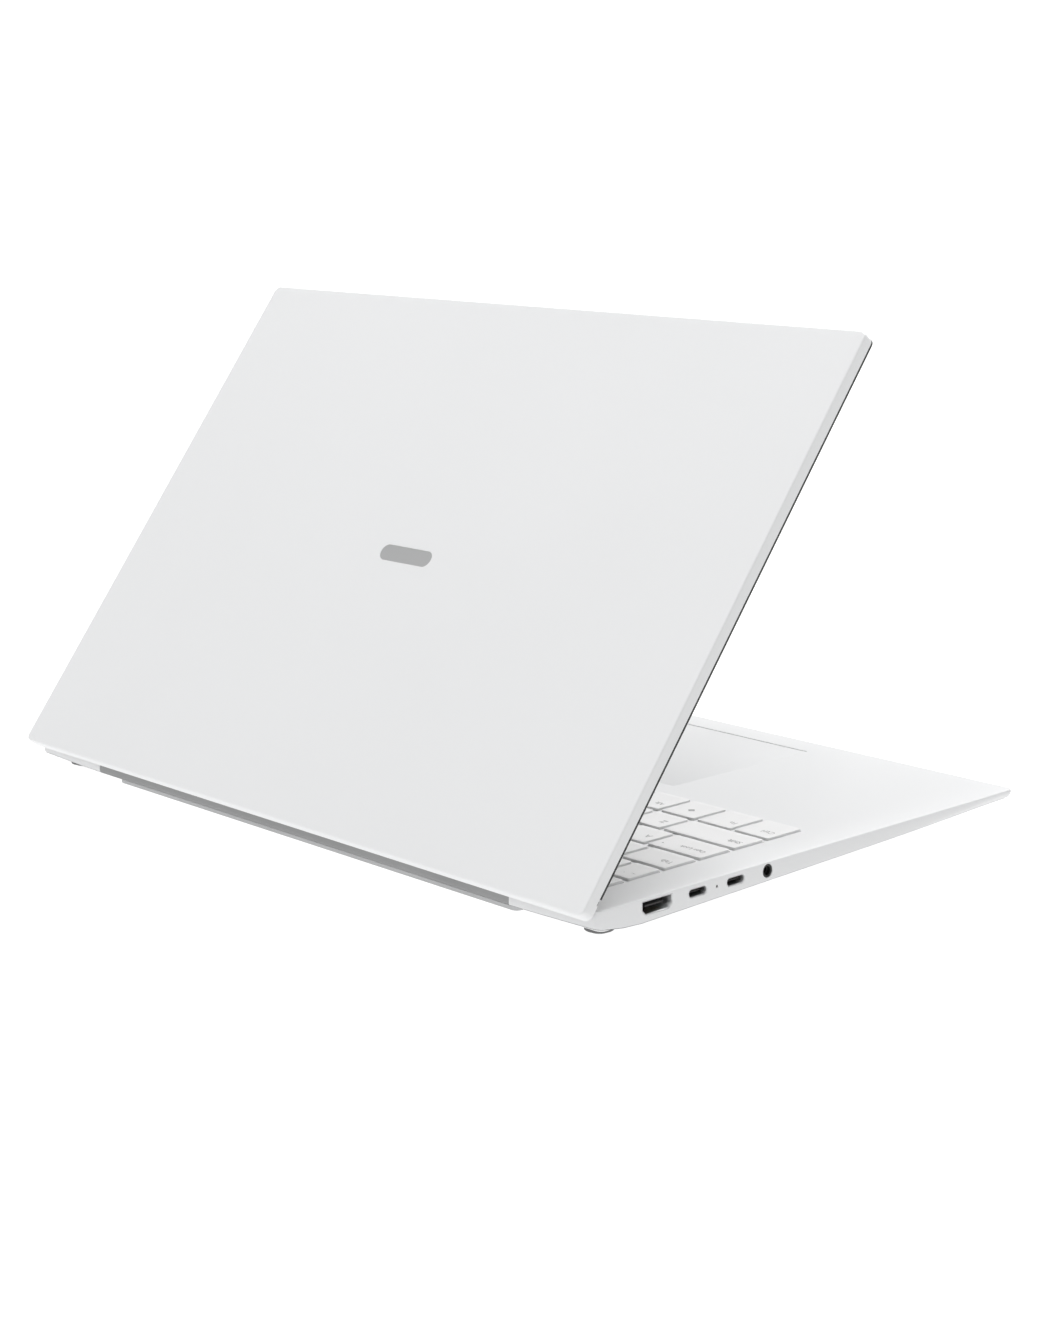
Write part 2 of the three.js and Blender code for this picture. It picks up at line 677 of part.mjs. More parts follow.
// The base half of one hinge: a bored knuckle on an arm that reaches in to a plate under the deck.
function hingeBracket(side) {
  const x = onSide(side, KNUCKLE_X);
  const knuckle = bar(circle(HINGE_Y, HINGE_Z, BARREL_RADIUS, 20), x);
  const arm = box(x, [BRACKET_PLATE.y[1] - 1, HINGE_Y], BRACKET_PLATE.z);
  const plate = box(onSide(side, BRACKET_PLATE.x), BRACKET_PLATE.y, BRACKET_PLATE.z);
  const bore = bar(circle(HINGE_Y, HINGE_Z, BORE_RADIUS, 20), [x[0] - 1, x[1] + 1]);
  return cut(join(knuckle, arm, plate), bore);
}

// The lid half, closed: a shaft in the knuckle, a web up through the lid's edge, and a screwed plate.
function hingeLeaf(side) {
  const x = onSide(side, LEAF_X);
  const barrel = bar(circle(HINGE_Y, HINGE_Z, BARREL_RADIUS, 20), x);
  const shaft = bar(circle(HINGE_Y, HINGE_Z, SHAFT_RADIUS, 12), onSide(side, [KNUCKLE_X[0], LEAF_X[0] + 1]));
  const web = box(x, around(HINGE_Y, WEB_HALF_DEPTH), [HINGE_Z, LEAF_PLATE.z[0] - SEAM]);
  const neck = box(x, [HINGE_Y - WEB_HALF_DEPTH, HINGE_Y], [HINGE_Z, LEAF_PLATE.z[0] + 0.7]);
  const plate = box(onSide(side, LEAF_PLATE.x), LEAF_PLATE.y, LEAF_PLATE.z);
  return join(barrel, shaft, web, neck, plate);
}

function hingeWebNotch(side) {
  const x = onSide(side, [LEAF_X[0] - 2 * GAP, LEAF_X[1] + 2 * GAP]);
  return box(x, [HINGE_Y - WEB_HALF_DEPTH - 0.4, LID_REAR], [0, LEAF_PLATE.z[0]]);
}

// ---------------------------------------------------------------- lid, shaped closed

function lidOutline(inset) {
  const halfWidth = HALF_WIDTH - inset;
  const radius = Math.max(CORNER_RADIUS - inset, 1);
  return roundedRectangle([-halfWidth, halfWidth], [LID_FRONT + inset, LID_REAR - inset], radius);
}

function emblemOutline(inset) {
  const halfWidth = EMBLEM.halfWidth - inset;
  const halfDepth = EMBLEM.halfDepth - inset;
  const y = [EMBLEM.y - halfDepth, EMBLEM.y + halfDepth];
  return roundedRectangle([-halfWidth, halfWidth], y, halfDepth - 0.01, 8);
}

function lidCover() {
  const outline = lidOutline(0);
  const shell = loft([
    outline.map(([x, y]) => [x, y, LID_COVER_Z]),
    outline.map(([x, y]) => [x, y, LID_TOP_Z - LID_EDGE_CHAMFER]),
    lidOutline(LID_EDGE_CHAMFER).map(([x, y]) => [x, y, LID_TOP_Z]),
  ]);
  const rail = cut(
    slab(lidOutline(0), [LID_REST_Z, LID_COVER_Z + SEAM]),
    box([-FAR, FAR], [-FAR, LID_RAIL_FRONT], [0, LID_TOP_Z]),
  );
  const bezelStep = slab(lidOutline(GASKET_WIDTH), [0, PANEL.z[0]]);
  const pocket = slab(lidOutline(LID_POCKET_INSET), [0, LID_POCKET_Z]);
  const emblemPocket = slab(emblemOutline(0), [LID_TOP_Z - EMBLEM.depth - SEAM, LID_TOP_Z + 1]);
  return cut(join(shell, rail), bezelStep, pocket, emblemPocket);
}

function bezel() {
  const plate = slab(lidOutline(BEZEL_INSET), BEZEL_Z);
  const opening = box([-SCREEN.halfWidth, SCREEN.halfWidth], [SCREEN.front, SCREEN.rear], [0, LID_TOP_Z]);
  const rear = box([-FAR, FAR], [HINGE_STRIP_Y[0] - 0.4, FAR], [0, LID_TOP_Z]);
  const lensHole = slab(circle(0, CAMERA.y, CAMERA.lens + GAP, 16), [0, LID_TOP_Z]);
  return cut(plate, opening, rear, lensHole);
}

// The soft strip round three sides of the screen, which meets the deck when the lid is shut.
function gasket() {
  return cut(
    slab(lidOutline(0), GASKET_Z),
    slab(lidOutline(GASKET_WIDTH), [0, LID_TOP_Z]),
    box([-FAR, FAR], [GASKET_REAR, FAR], [0, LID_TOP_Z]),
  );
}

// The strip along the hinge side: its ends reach the lid's sides, and it is notched for the hinge webs.
function hingeStrip() {
  const front = box([-FAR, FAR], [-FAR, HINGE_STRIP_Y[0]], [0, LID_TOP_Z]);
  const ends = cut(
    slab(lidOutline(0.4), [LID_REST_Z + 0.05, GASKET_Z[1]]),
    box([-FAR, FAR], [HINGE_STRIP_Y[1], FAR], [0, LID_TOP_Z]),
  );
  const plate = slab(lidOutline(BEZEL_INSET), [LID_REST_Z + 0.05, BEZEL_Z[1]]);
  return cut(join(ends, plate), front, hingeWebNotch(1), hingeWebNotch(-1));
}

function camera() {
  const y = around(CAMERA.y, CAMERA.halfDepth);
  const board = box(around(0, CAMERA.halfWidth), y, PANEL.z);
  return join(board, slab(circle(0, CAMERA.y, CAMERA.lens, 16), [CAMERA.z, PANEL.z[0] + 1]));
}

// ---------------------------------------------------------------- assembly

const ports = [...PORTS.map(port), audioJack(), chargeLight()];
const laptop = new THREE.Group();

function addToBase(name, finish, body) {
  laptop.add(piece(name, finish, body));
}

addToBase("top_case", "white", topCase([...allKeys, powerKey], [...ports, { hole: lockSlot }]));
addToBase("bottom_cover", "white", bottomCover());
addToBase("rear_vent", "grey", rearVent());
FEET.forEach(([name, x, y]) => addToBase(name, "rubber", foot(x, y)));
const barZ = [BOTTOM_Z - FOOT_HEIGHT, BOTTOM_Z + FOOT_RECESS - GAP];
addToBase("foot_rear_bar", "rubber", slab(footBarOutline(0), barZ));
addToBase("touchpad", "white", block(TOUCHPAD));
addToBase("power_button", "key", box(powerKey.x, powerKey.y, POWER_KEY_Z));
addToBase("keyboard_plate", "steel", block(KEYBOARD_PLATE));
Object.entries(singleKeys).forEach(([name, key]) => addToBase(name, "key", keycap(key)));
Object.entries(keyGroups).forEach(([name, keys]) => addToBase(name, "key", keyGroup(keys)));
ports.forEach(({ name, body }) => addToBase(name, name.endsWith("jack") ? "dark" : "steel", body));

addToBase("motherboard", "board", motherboard());
addToBase("battery", "dark", block(BATTERY));
addToBase("fan_housing", "dark", fanHousing());
addToBase("fan_rotor", "dark", fanRotor());
addToBase("heat_spreader", "copper", block(HEAT_SPREADER));
addToBase("heat_pipe", "copper", heatPipe());
addToBase("heat_sink", "copper", heatSink());
addToBase("solid_state_drive", "board", block(DRIVE));
addToBase("wireless_card", "board", block(WIRELESS_CARD));
addToBase("speaker_left", "dark", box(onSide(-1, SPEAKER.x), SPEAKER.y, SPEAKER.z));
addToBase("speaker_right", "dark", block(SPEAKER));
addToBase("hinge_bracket_left", "steel", hingeBracket(-1));
addToBase("hinge_bracket_right", "steel", hingeBracket(1));

// The closed lid's parts sit in a group at the hinge axis, and the group is turned back to the open angle.
const lid = new THREE.Group();
lid.position.set(0, HINGE_Y, HINGE_Z);
lid.rotation.x = -THREE.MathUtils.degToRad(REST_ANGLE);
laptop.add(lid);

function addToLid(name, finish, body) {
  const mesh = piece(name, finish, body);
  mesh.position.set(0, -HINGE_Y, -HINGE_Z);
  lid.add(mesh);
}

addToLid("lid_cover", "white", lidCover());
addToLid("lid_bezel", "dark", bezel());
addToLid("screen_gasket", "dark", gasket());
addToLid("hinge_strip", "grey", hingeStrip());
const panelX = around(0, PANEL.halfWidth);
addToLid("display_panel", "glass", box(panelX, [PANEL.front, PANEL.rear], PANEL.z));
addToLid("camera_module", "dark", camera());
addToLid("lid_emblem", "grey", slab(emblemOutline(SEAM), [LID_TOP_Z - EMBLEM.depth, LID_TOP_Z]));
addToLid("hinge_leaf_left", "steel", hingeLeaf(-1));
addToLid("hinge_leaf_right", "steel", hingeLeaf(1));

// The whole laptop stands on its feet, centred over the origin.
const bounds = new THREE.Box3().setFromObject(laptop, true);
const middle = bounds.getCenter(new THREE.Vector3());
laptop.position.set(-middle.x, -middle.y, -bounds.min.z);

export default laptop;
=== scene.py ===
"""A white 16-inch laptop, seen from behind its left corner with the lid partly open.

Shapes are made in millimetres in the deck frame: z = 0 is the top of the keyboard deck, x = 0 the middle,
and y is the CAD model's. The lid's pieces are shaped closed and turned back on the hinge.
"""
import json
import math

import bmesh
import bpy
from mathutils import Matrix, Vector


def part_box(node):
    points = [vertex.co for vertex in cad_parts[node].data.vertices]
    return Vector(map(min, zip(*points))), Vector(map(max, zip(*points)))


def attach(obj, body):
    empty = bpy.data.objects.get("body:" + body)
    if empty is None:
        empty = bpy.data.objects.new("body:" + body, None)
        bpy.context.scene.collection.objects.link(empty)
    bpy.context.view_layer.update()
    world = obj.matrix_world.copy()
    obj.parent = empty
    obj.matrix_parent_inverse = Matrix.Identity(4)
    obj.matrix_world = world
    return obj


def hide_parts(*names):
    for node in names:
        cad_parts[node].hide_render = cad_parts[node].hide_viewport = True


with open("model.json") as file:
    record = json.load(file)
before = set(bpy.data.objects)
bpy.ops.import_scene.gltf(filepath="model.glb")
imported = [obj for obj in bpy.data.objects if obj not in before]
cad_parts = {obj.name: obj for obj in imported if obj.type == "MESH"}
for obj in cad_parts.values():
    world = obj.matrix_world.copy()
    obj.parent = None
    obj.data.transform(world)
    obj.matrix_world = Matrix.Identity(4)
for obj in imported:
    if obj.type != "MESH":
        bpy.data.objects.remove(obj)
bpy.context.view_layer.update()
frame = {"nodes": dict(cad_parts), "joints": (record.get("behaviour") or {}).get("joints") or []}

MM = 0.001

# ------------------------------------------------------------------ sizes, in millimetres

BASE_FRONT = -122.0
BASE_REAR = 116.3
HALF_WIDTH = 177.95
CORNER_RADIUS = 3.0
WALL = 1.6
DECK = 1.0

LID_FRONT = -122.0
LID_REAR = 120.0
LID_COVER_Z = 1.2
LID_TOP_Z = 5.97

UNIT = 19.05
KEY_GAP = 2.1
KEY_CLEARANCE = 0.2
KEYS_LEFT = -159.2
NUMPAD_PITCH = 13.55
NUMPAD_LEFT = KEYS_LEFT + 14 * UNIT
ROW_PITCH = 18.8
ROW_DEPTH = 16.5
LETTER_ROWS_FRONT = 9.8
MODIFIER_ROW_FRONT = -11.9
MODIFIER_ROW_DEPTH = 19.5
FUNCTION_ROW_FRONT = LETTER_ROWS_FRONT + 4 * ROW_PITCH
FUNCTION_ROW_DEPTH = 10.0
FUNCTION_KEYS = 18
FUNCTION_PITCH = (14 * UNIT + 4 * NUMPAD_PITCH) / FUNCTION_KEYS
KEY_TOP = 1.0

# Further out than any part of the laptop, for cutters.
FAR = 200

# ------------------------------------------------------------------ the deck frame, from the CAD model

_case_low, _case_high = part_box("top_case")
DECK_ORIGIN = Vector((0, _case_low.y - BASE_FRONT * MM, _case_high.z))
TO_ROW = Matrix.Translation(DECK_ORIGIN) @ Matrix.Scale(MM, 4)

HINGE = next(j for j in frame["joints"] if j["name"] == "lid_hinge")
OPEN_ANGLE = -math.radians(HINGE["range_deg"][0])
_axis_point = Matrix.Translation(Vector(HINGE["pos_m"]))
OPEN = _axis_point @ Matrix.Rotation(-OPEN_ANGLE, 4, "X") @ _axis_point.inverted()
LID_TO_ROW = OPEN @ TO_ROW


# ------------------------------------------------------------------ materials

NOISE_DETAIL = 3.0
TONE_SPREAD = (0.3, 0.7)
ROUGHNESS_SPREAD = 0.06
BUMP_HEIGHT = 0.00005
COAT_ROUGHNESS = 0.25


def new_material(name):
    """An empty material, its node tree and its shader."""
    material = bpy.data.materials.new(name)
    material.use_nodes = True
    tree = material.node_tree
    return material, tree, tree.nodes["Principled BSDF"]


def add(tree, kind, **settings):
    """A new node with some of its inputs or settings changed."""
    node = tree.nodes.new(kind)
    for key, value in settings.items():
        if key in node.inputs:
            node.inputs[key].default_value = value
        else:
            setattr(node, key, value)
    return node


def object_noise(tree, scale, stretch=(1, 1, 1)):
    """Noise in the object's own space. Scale is in features per metre."""
    where = add(tree, "ShaderNodeTexCoord")
    mapping = add(tree, "ShaderNodeMapping")
    mapping.inputs["Scale"].default_value = stretch
    tree.links.new(where.outputs["Object"], mapping.inputs["Vector"])
    noise = add(tree, "ShaderNodeTexNoise", Scale=scale, Detail=NOISE_DETAIL)
    tree.links.new(mapping.outputs["Vector"], noise.inputs["Vector"])
    return noise


def ramp_between(tree, source, low, high):
    """A colour that moves from low to high over the middle of the noise's range."""
    ramp = add(tree, "ShaderNodeValToRGB")
    for stop, position, colour in zip(ramp.color_ramp.elements, TONE_SPREAD, (low, high)):
        stop.position = position
        stop.color = (*colour, 1)
    tree.links.new(source.outputs["Fac"], ramp.inputs["Fac"])
    return ramp


def map_range(tree, value, start, end, low, high):
    """A value that moves from low to high as another goes from start to end."""
    node = add(tree, "ShaderNodeMapRange")
    limits = {"From Min": start, "From Max": end, "To Min": low, "To Max": high}
    for socket, limit in limits.items():
        node.inputs[socket].default_value = limit
    tree.links.new(value, node.inputs["Value"])
    return node.outputs["Result"]


def grained(name, low, high, roughness, grain, bump, metallic=0.0, patch=18.0, coat=0.0, stretch=(1, 1, 1)):
    """Colour that drifts slowly between two close tones, with a fine grain in the bump and the roughness."""
    material, tree, shader = new_material(name)
    drift = object_noise(tree, patch)
    colour = ramp_between(tree, drift, low, high)
    tree.links.new(colour.outputs["Color"], shader.inputs["Base Color"])
    fine = object_noise(tree, grain, stretch)
    limits = (roughness - ROUGHNESS_SPREAD, roughness + ROUGHNESS_SPREAD)
    tree.links.new(map_range(tree, fine.outputs["Fac"], 0, 1, *limits), shader.inputs["Roughness"])
    raised = add(tree, "ShaderNodeBump", Strength=bump, Distance=BUMP_HEIGHT)
    tree.links.new(fine.outputs["Fac"], raised.inputs["Height"])
    tree.links.new(raised.outputs["Normal"], shader.inputs["Normal"])
    shader.inputs["Metallic"].default_value = metallic
    shader.inputs["Coat Weight"].default_value = coat
    shader.inputs["Coat Roughness"].default_value = COAT_ROUGHNESS
    return material


def tone(value, blue=1.015):
    """A light or dark neutral grey, with a little more blue than red."""
    return (value, value * (1 + (blue - 1) / 2), value * blue)


MATERIALS = {
    "casing": grained("casing_white_paint", tone(0.785), tone(0.80), 0.42, 2600, 0.25, patch=6.0),
    "key": grained("keycap_white_plastic", tone(0.82, 1.0), tone(0.84, 1.0), 0.5, 3800, 0.35),
    "touchpad": grained("touchpad_etched_glass", tone(0.79), tone(0.81), 0.34, 5200, 0.12, coat=0.15),
    "legend": grained("legend_grey_ink", tone(0.34), tone(0.40), 0.6, 3000, 0.1),
    "emblem": grained("emblem_grey_metal", tone(0.40), tone(0.43), 0.4, 3000, 0.1, metallic=0.1),
    "gasket": grained("gasket_black_rubber", tone(0.010), tone(0.018), 0.62, 2200, 0.35),
    "bezel": grained("bezel_black_plastic", tone(0.012), tone(0.02), 0.5, 3400, 0.3),
    # The hinge strip's near-black tone is painted shade, standing for the shadow under the lid's hinge edge.
    "strip": grained("hinge_strip_painted_shade", tone(0.09), tone(0.12), 0.55, 3000, 0.3),
    # The vent's mid grey is partly the grille's own grey and partly painted shade from under the lid.
    "vent": grained("vent_grey_with_painted_shade", tone(0.30), tone(0.34), 0.6, 2600, 0.35),
    "foot": grained("foot_grey_rubber", tone(0.45), tone(0.52), 0.8, 1800, 0.5),
    # The foot disc's dark tone is painted shade, standing for the shadow on the underside round each foot.
    "foot_disc": grained("foot_disc_painted_shade", tone(0.13), tone(0.17), 0.75, 1800, 0.5),
    "port": grained("port_steel", tone(0.56), tone(0.68), 0.3, 2500, 0.2, metallic=1.0),
    "port_black": grained("port_black_plastic", tone(0.008), tone(0.014), 0.45, 3000, 0.2),
    "contact": grained("contact_gold", (0.80, 0.58, 0.25), (0.88, 0.66, 0.32), 0.3, 2500, 0.1, 1.0),
    "steel": grained("hinge_steel", tone(0.40), tone(0.50), 0.36, 1800, 0.3, 1.0, stretch=(0.1, 1, 1)),
    "copper": grained("copper", (0.70, 0.36, 0.22), (0.78, 0.43, 0.28), 0.35, 1500, 0.3, 1.0),
    "board": grained("circuit_board", (0.010, 0.09, 0.05), (0.016, 0.12, 0.07), 0.45, 900, 0.5),
    "battery": grained("battery_wrap", tone(0.025), tone(0.04), 0.5, 1200, 0.3),
    "screen": grained("screen_glass", tone(0.010), tone(0.013), 0.22, 4000, 0.05, coat=0.4),
    "light": grained("light_lens", tone(0.04), tone(0.06), 0.25, 2000, 0.1, coat=0.5),
}


# ------------------------------------------------------------------ mesh making

def rounded_rectangle(x, y, radius, steps=6, side_steps=1):
    """A rectangle with round corners, counter-clockwise. Its long straight runs can be divided."""
    (x0, x1), (y0, y1) = x, y
    corners = [(x1, y1, -1, -1, 0), (x0, y1, 1, -1, 90), (x0, y0, 1, 1, 180), (x1, y0, -1, 1, 270)]
    points = []
    for cx, cy, dx, dy, start in corners:
        for i in range(steps + 1):
            angle = math.radians(start + 90 * i / steps)
            out_x, out_y = math.cos(angle), math.sin(angle)
            points.append((cx + radius * (dx + out_x), cy + radius * (dy + out_y)))
    if side_steps < 2:
        return points
    divided = []
    for here, there in zip(points, points[1:] + points[:1]):
        long_run = math.dist(here, there) > 3 * radius
        count = side_steps if long_run else 1
        for k in range(count):
            t = k / count
            divided.append((here[0] + (there[0] - here[0]) * t, here[1] + (there[1] - here[1]) * t))
    return divided


def circle(cx, cy, radius, steps=32):
    """A round outline, counter-clockwise."""
    angles = [2 * math.pi * i / steps for i in range(steps)]
    return [(cx + radius * math.cos(a), cy + radius * math.sin(a)) for a in angles]


def level(points, z):
    """A flat outline as a ring of points at one height, or at a height that depends on the place."""
    height = z if callable(z) else (lambda x, y: z)
    return [(x, y, height(x, y)) for x, y in points]


def loft(rings):
    """Vertices and faces of a closed skin through rings that have the same number of points, lowest first."""
    count = len(rings[0])
    vertices = [point for ring in rings for point in ring]
    faces = [tuple(reversed(range(count)))]
    for row in range(len(rings) - 1):
        for i in range(count):
            a = row * count + i
            b = row * count + (i + 1) % count
            faces.append((a, b, b + count, a + count))
    faces.append(tuple(range((len(rings) - 1) * count, len(rings) * count)))
    return vertices, faces


def merged(*skins):
    """Several skins as one list of vertices and one of faces."""
    vertices, faces = [], []
    for skin_vertices, skin_faces in skins:
        start = len(vertices)
        vertices += skin_vertices
        faces += [tuple(i + start for i in face) for face in skin_faces]
    return vertices, faces


def turned(skin, matrix):
    """A skin with a matrix applied to it."""
    vertices, faces = skin
    return [tuple(matrix @ Vector(v)) for v in vertices], faces


def box(x, y, z):
    """A block between two values along each axis."""
    return loft([level([(x[0], y[0]), (x[1], y[0]), (x[1], y[1]), (x[0], y[1])], h) for h in z])


def slab(y, z=(-5, 5)):
    """A cutter right across the laptop."""
    return box((-FAR, FAR), y, z)


# Turns a skin made upright on a plan into one on a side wall: plan x becomes y, plan y z, and up x.
ALONG_X = Matrix(((0, 0, 1, 0), (1, 0, 0, 0), (0, 1, 0, 0), (0, 0, 0, 1)))


def new_object(name, skin, matrix=TO_ROW):
    """A mesh object made from a skin in millimetres, placed in the row frame."""
    mesh = bpy.data.meshes.new(name)
    vertices, faces = skin
    mesh.from_pydata([matrix @ Vector(v) for v in vertices], [], faces)
    work = bmesh.new()
    work.from_mesh(mesh)
    bmesh.ops.recalc_face_normals(work, faces=work.faces)
    work.to_mesh(mesh)
    work.free()
    thing = bpy.data.objects.new(name, mesh)
    bpy.context.scene.collection.objects.link(thing)
    return thing


def carve(target, skins, matrix=TO_ROW, operation="DIFFERENCE"):
    """Cuts closed skins out of an object and keeps the result as its mesh."""
    cutter = new_object("cutter", merged(*skins), matrix)
    modifier = target.modifiers.new("cut", "BOOLEAN")
    modifier.object = cutter
    modifier.operation = operation
    modifier.solver = "EXACT"
    shown = target.evaluated_get(bpy.context.evaluated_depsgraph_get())
    result = bpy.data.meshes.new_from_object(shown)
    target.modifiers.clear()
    target.data = result
    bpy.data.objects.remove(cutter)
    return target


def finish_piece(thing, body, material, slot, replaces=(), sharp=35, bevel=0.0):
    """Shades, paints and files a piece under its body."""
    thing.data.materials.clear()
    thing.data.materials.append(MATERIALS[material])
    thing.data.shade_smooth()
    thing.data.set_sharp_from_angle(angle=math.radians(sharp))
    if bevel:
        round_off = thing.modifiers.new("edges", "BEVEL")
        round_off.width = bevel * MM
        round_off.segments = 3
        round_off.angle_limit = math.radians(40)
        round_off.harden_normals = True
    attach(thing, body)
    if replaces:
        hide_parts(*replaces)
    return thing


def piece(name, skin, body, material, slot, matrix=TO_ROW, **options):
    """A finished piece made from one skin, with nothing cut from it."""
    return finish_piece(new_object(name, skin, matrix), body, material, slot, **options)


# ------------------------------------------------------------------ keyboard layout

def key_row(pitches, left, front, depth, labels):
    """Keys side by side from the left, each with its place in x and y and its label."""
    keys = []
    x = left
    for pitch, label in zip(pitches, labels, strict=True):
        keys.append({"x": (x, x + pitch - KEY_GAP), "y": (front, front + depth), "label": label})
        x += pitch
    return keys


def letter_row(first, row, labels):
    """One of the four main rows, as wide as all: a first key, a run of square ones, and a last key."""
    squares = len(labels) - 2
    pitches = [first, *[UNIT] * squares, (14 - squares) * UNIT - first]
    return key_row(pitches, KEYS_LEFT, LETTER_ROWS_FRONT + row * ROW_PITCH, ROW_DEPTH, labels)


BACKQUOTE_PITCH = 14.2
TAB_PITCH = 24.15
CAPS_PITCH = 29.35
SHIFT_PITCH = 39.3
SIDE_KEY_PITCH = 19.57

FUNCTION_LABELS = ["Esc", *(f"F{n}" for n in range(1, 13)), "PrtSc", "Del", "Home", "End", ""]
NUMBER_LABELS = ["~\n`", *(f"{top}\n{low}" for top, low in zip("!@#$%^&*()_+", "1234567890-=")), "Back"]
FUNCTION_PLACE = (KEYS_LEFT, FUNCTION_ROW_FRONT, FUNCTION_ROW_DEPTH)
function_row = key_row([FUNCTION_PITCH] * FUNCTION_KEYS, *FUNCTION_PLACE, FUNCTION_LABELS)
number_row = letter_row(BACKQUOTE_PITCH, 3, NUMBER_LABELS)
TAB_LABELS = ["Tab", *"QWERTYUIOP", "{\n[", "}\n]", "|\n\\"]
CAPS_LABELS = ["Caps Lock", *"ASDFGHJKL", ":\n;", "\"\n'", "Enter"]
SHIFT_LABELS = ["Shift", *"ZXCVBNM", "<\n,", ">\n.", "?\n/", "Shift"]
tab_row = letter_row(TAB_PITCH, 2, TAB_LABELS)
caps_row = letter_row(CAPS_PITCH, 1, CAPS_LABELS)
shift_row = letter_row(SHIFT_PITCH, 0, SHIFT_LABELS)
ARROW_PITCH = (14 * UNIT - 4 * SIDE_KEY_PITCH - 7 * UNIT) / 3
modifier_row = key_row(
    [*[SIDE_KEY_PITCH] * 4, 5 * UNIT, UNIT, UNIT, *[ARROW_PITCH] * 3],
    KEYS_LEFT, MODIFIER_ROW_FRONT, MODIFIER_ROW_DEPTH,
    ["Ctrl", "Fn", "", "Alt", "", "Alt", "Ctrl", "left", "down", "right"],
)


def split_arrows(row):
    """The up and down arrows share one place, each half as deep."""
    middle = row[8]
    low, high = middle["y"]
    depth = (MODIFIER_ROW_DEPTH - KEY_GAP) / 2
    down = {"x": middle["x"], "y": (low, low + depth), "label": "down"}
    up = {"x": middle["x"], "y": (high - depth, high), "label": "up"}
    return [*row[:8], down, up, row[9]]


def number_pad():
    """The four columns of keys at the right."""
    fronts = [LETTER_ROWS_FRONT + row * ROW_PITCH for row in range(4)]
    top = key_row([NUMPAD_PITCH] * 4, NUMPAD_LEFT, fronts[3], ROW_DEPTH, ["Num", "/", "*", "-"])
    threes = []
    for row, digits in ((2, "789"), (1, "456"), (0, "123")):
        threes += key_row([NUMPAD_PITCH] * 3, NUMPAD_LEFT, fronts[row], ROW_DEPTH, digits)
    plus = {"x": top[3]["x"], "y": (fronts[1], fronts[2] + ROW_DEPTH), "label": "+"}
    enter = {"x": top[3]["x"], "y": (MODIFIER_ROW_FRONT, fronts[0] + ROW_DEPTH), "label": "Ent"}
    place = (NUMPAD_LEFT, MODIFIER_ROW_FRONT, MODIFIER_ROW_DEPTH)
    front = key_row([2 * NUMPAD_PITCH, NUMPAD_PITCH], *place, "0.")
    return [*top, *threes, plus, enter, *front]


POWER_KEY = function_row[-1]
bottom_row = split_arrows(modifier_row)
KEYS = {
    "key_escape": function_row[:1],
    "key_backquote": number_row[:1],
    "key_tab": tab_row[:1],
    "key_caps_lock": caps_row[:1],
    "key_enter": caps_row[12:],
    "key_shift_left": shift_row[:1],
    "key_control_left": bottom_row[0:1],
    "key_fn": bottom_row[1:2],
    "key_menu": bottom_row[2:3],
    "key_alt_left": bottom_row[3:4],
    "key_space": bottom_row[4:5],
    "keys_function_row": function_row[1:-1],
    "keys_number_row": number_row[1:],
    "keys_upper_letters": tab_row[1:],
    "keys_middle_letters": caps_row[1:12],
    "keys_lower_letters": shift_row[1:],
    "keys_right_of_space": bottom_row[5:],
    "keys_number_pad": number_pad(),
}


# ------------------------------------------------------------------ keycaps and legends

CAP_CORNER = 0.9
CAP_FILLET = 0.14
CAP_DISH = 0.1
CAP_RIM = 1.0
WORD_SIZE = 3.9
LONG_WORD_SIZE = 3.0
LETTER_SIZE = 4.3
PAIR_SIZE = 3.3
SMALL_SIZE = 2.5
LINE_SPACING = 0.95
INK = 0.02
PRINT_Z = KEY_TOP - 0.6 * CAP_DISH
DISH_Z = KEY_TOP - CAP_DISH
ARROW_REACH = 0.9
LOZENGE_REACH = 1.75
LOZENGE_SHIFT = 1.3
POWER_FOOT = -1.7


def keycap(key, top=KEY_TOP, foot=-DECK):
    """A cap with round corners, a soft upper edge and a slightly hollow top."""
    (x0, x1), (y0, y1) = key["x"], key["y"]

    def ring(inset, z):
        radius = max(CAP_CORNER - 0.4 * inset, 0.4)
        return level(rounded_rectangle((x0 + inset, x1 - inset), (y0 + inset, y1 - inset), radius, 4), z)

    angles = [math.radians(30 * i) for i in range(4)]
    rounding = [ring(CAP_FILLET * (1 - math.cos(a)), top - CAP_FILLET * (1 - math.sin(a))) for a in angles]
    reach = min(x1 - x0, y1 - y0) / 2
    hollow = [ring(CAP_RIM + (0.75 * reach - CAP_RIM) * t, top - CAP_DISH * t) for t in (0.25, 0.6, 1.0)]
    return loft([ring(0, foot), ring(0, foot + 0.4), *rounding, *hollow])


def text_skin(words, x, y, z, size, align="LEFT"):
    """Printed letters as thin closed solids."""
    curve = bpy.data.curves.new("words", "FONT")
    curve.body = words
    curve.size = size
    curve.extrude = INK / 2
    curve.align_x = align
    curve.align_y = "CENTER"
    curve.resolution_u = 3
    curve.space_line = LINE_SPACING
    holder = bpy.data.objects.new("words", curve)
    bpy.context.scene.collection.objects.link(holder)
    mesh = bpy.data.meshes.new_from_object(holder.evaluated_get(bpy.context.evaluated_depsgraph_get()))
    vertices = [(v.co.x + x, v.co.y + y, v.co.z + z) for v in mesh.vertices]
    faces = [tuple(p.vertices) for p in mesh.polygons]
    bpy.data.objects.remove(holder)
    bpy.data.meshes.remove(mesh)
    return vertices, faces


def arrow_skin(x, y, z, direction):
    """A small solid triangle that points along a direction."""
    turn = {"right": 0, "up": 90, "left": 180, "down": 270}[direction]
    corners = []
    for angle in (0, 120, 240):
        a = math.radians(turn + angle)
        corners.append((x + ARROW_REACH * math.cos(a), y + ARROW_REACH * math.sin(a)))
    return loft([level(corners, z - INK / 2), level(corners, z + INK / 2)])


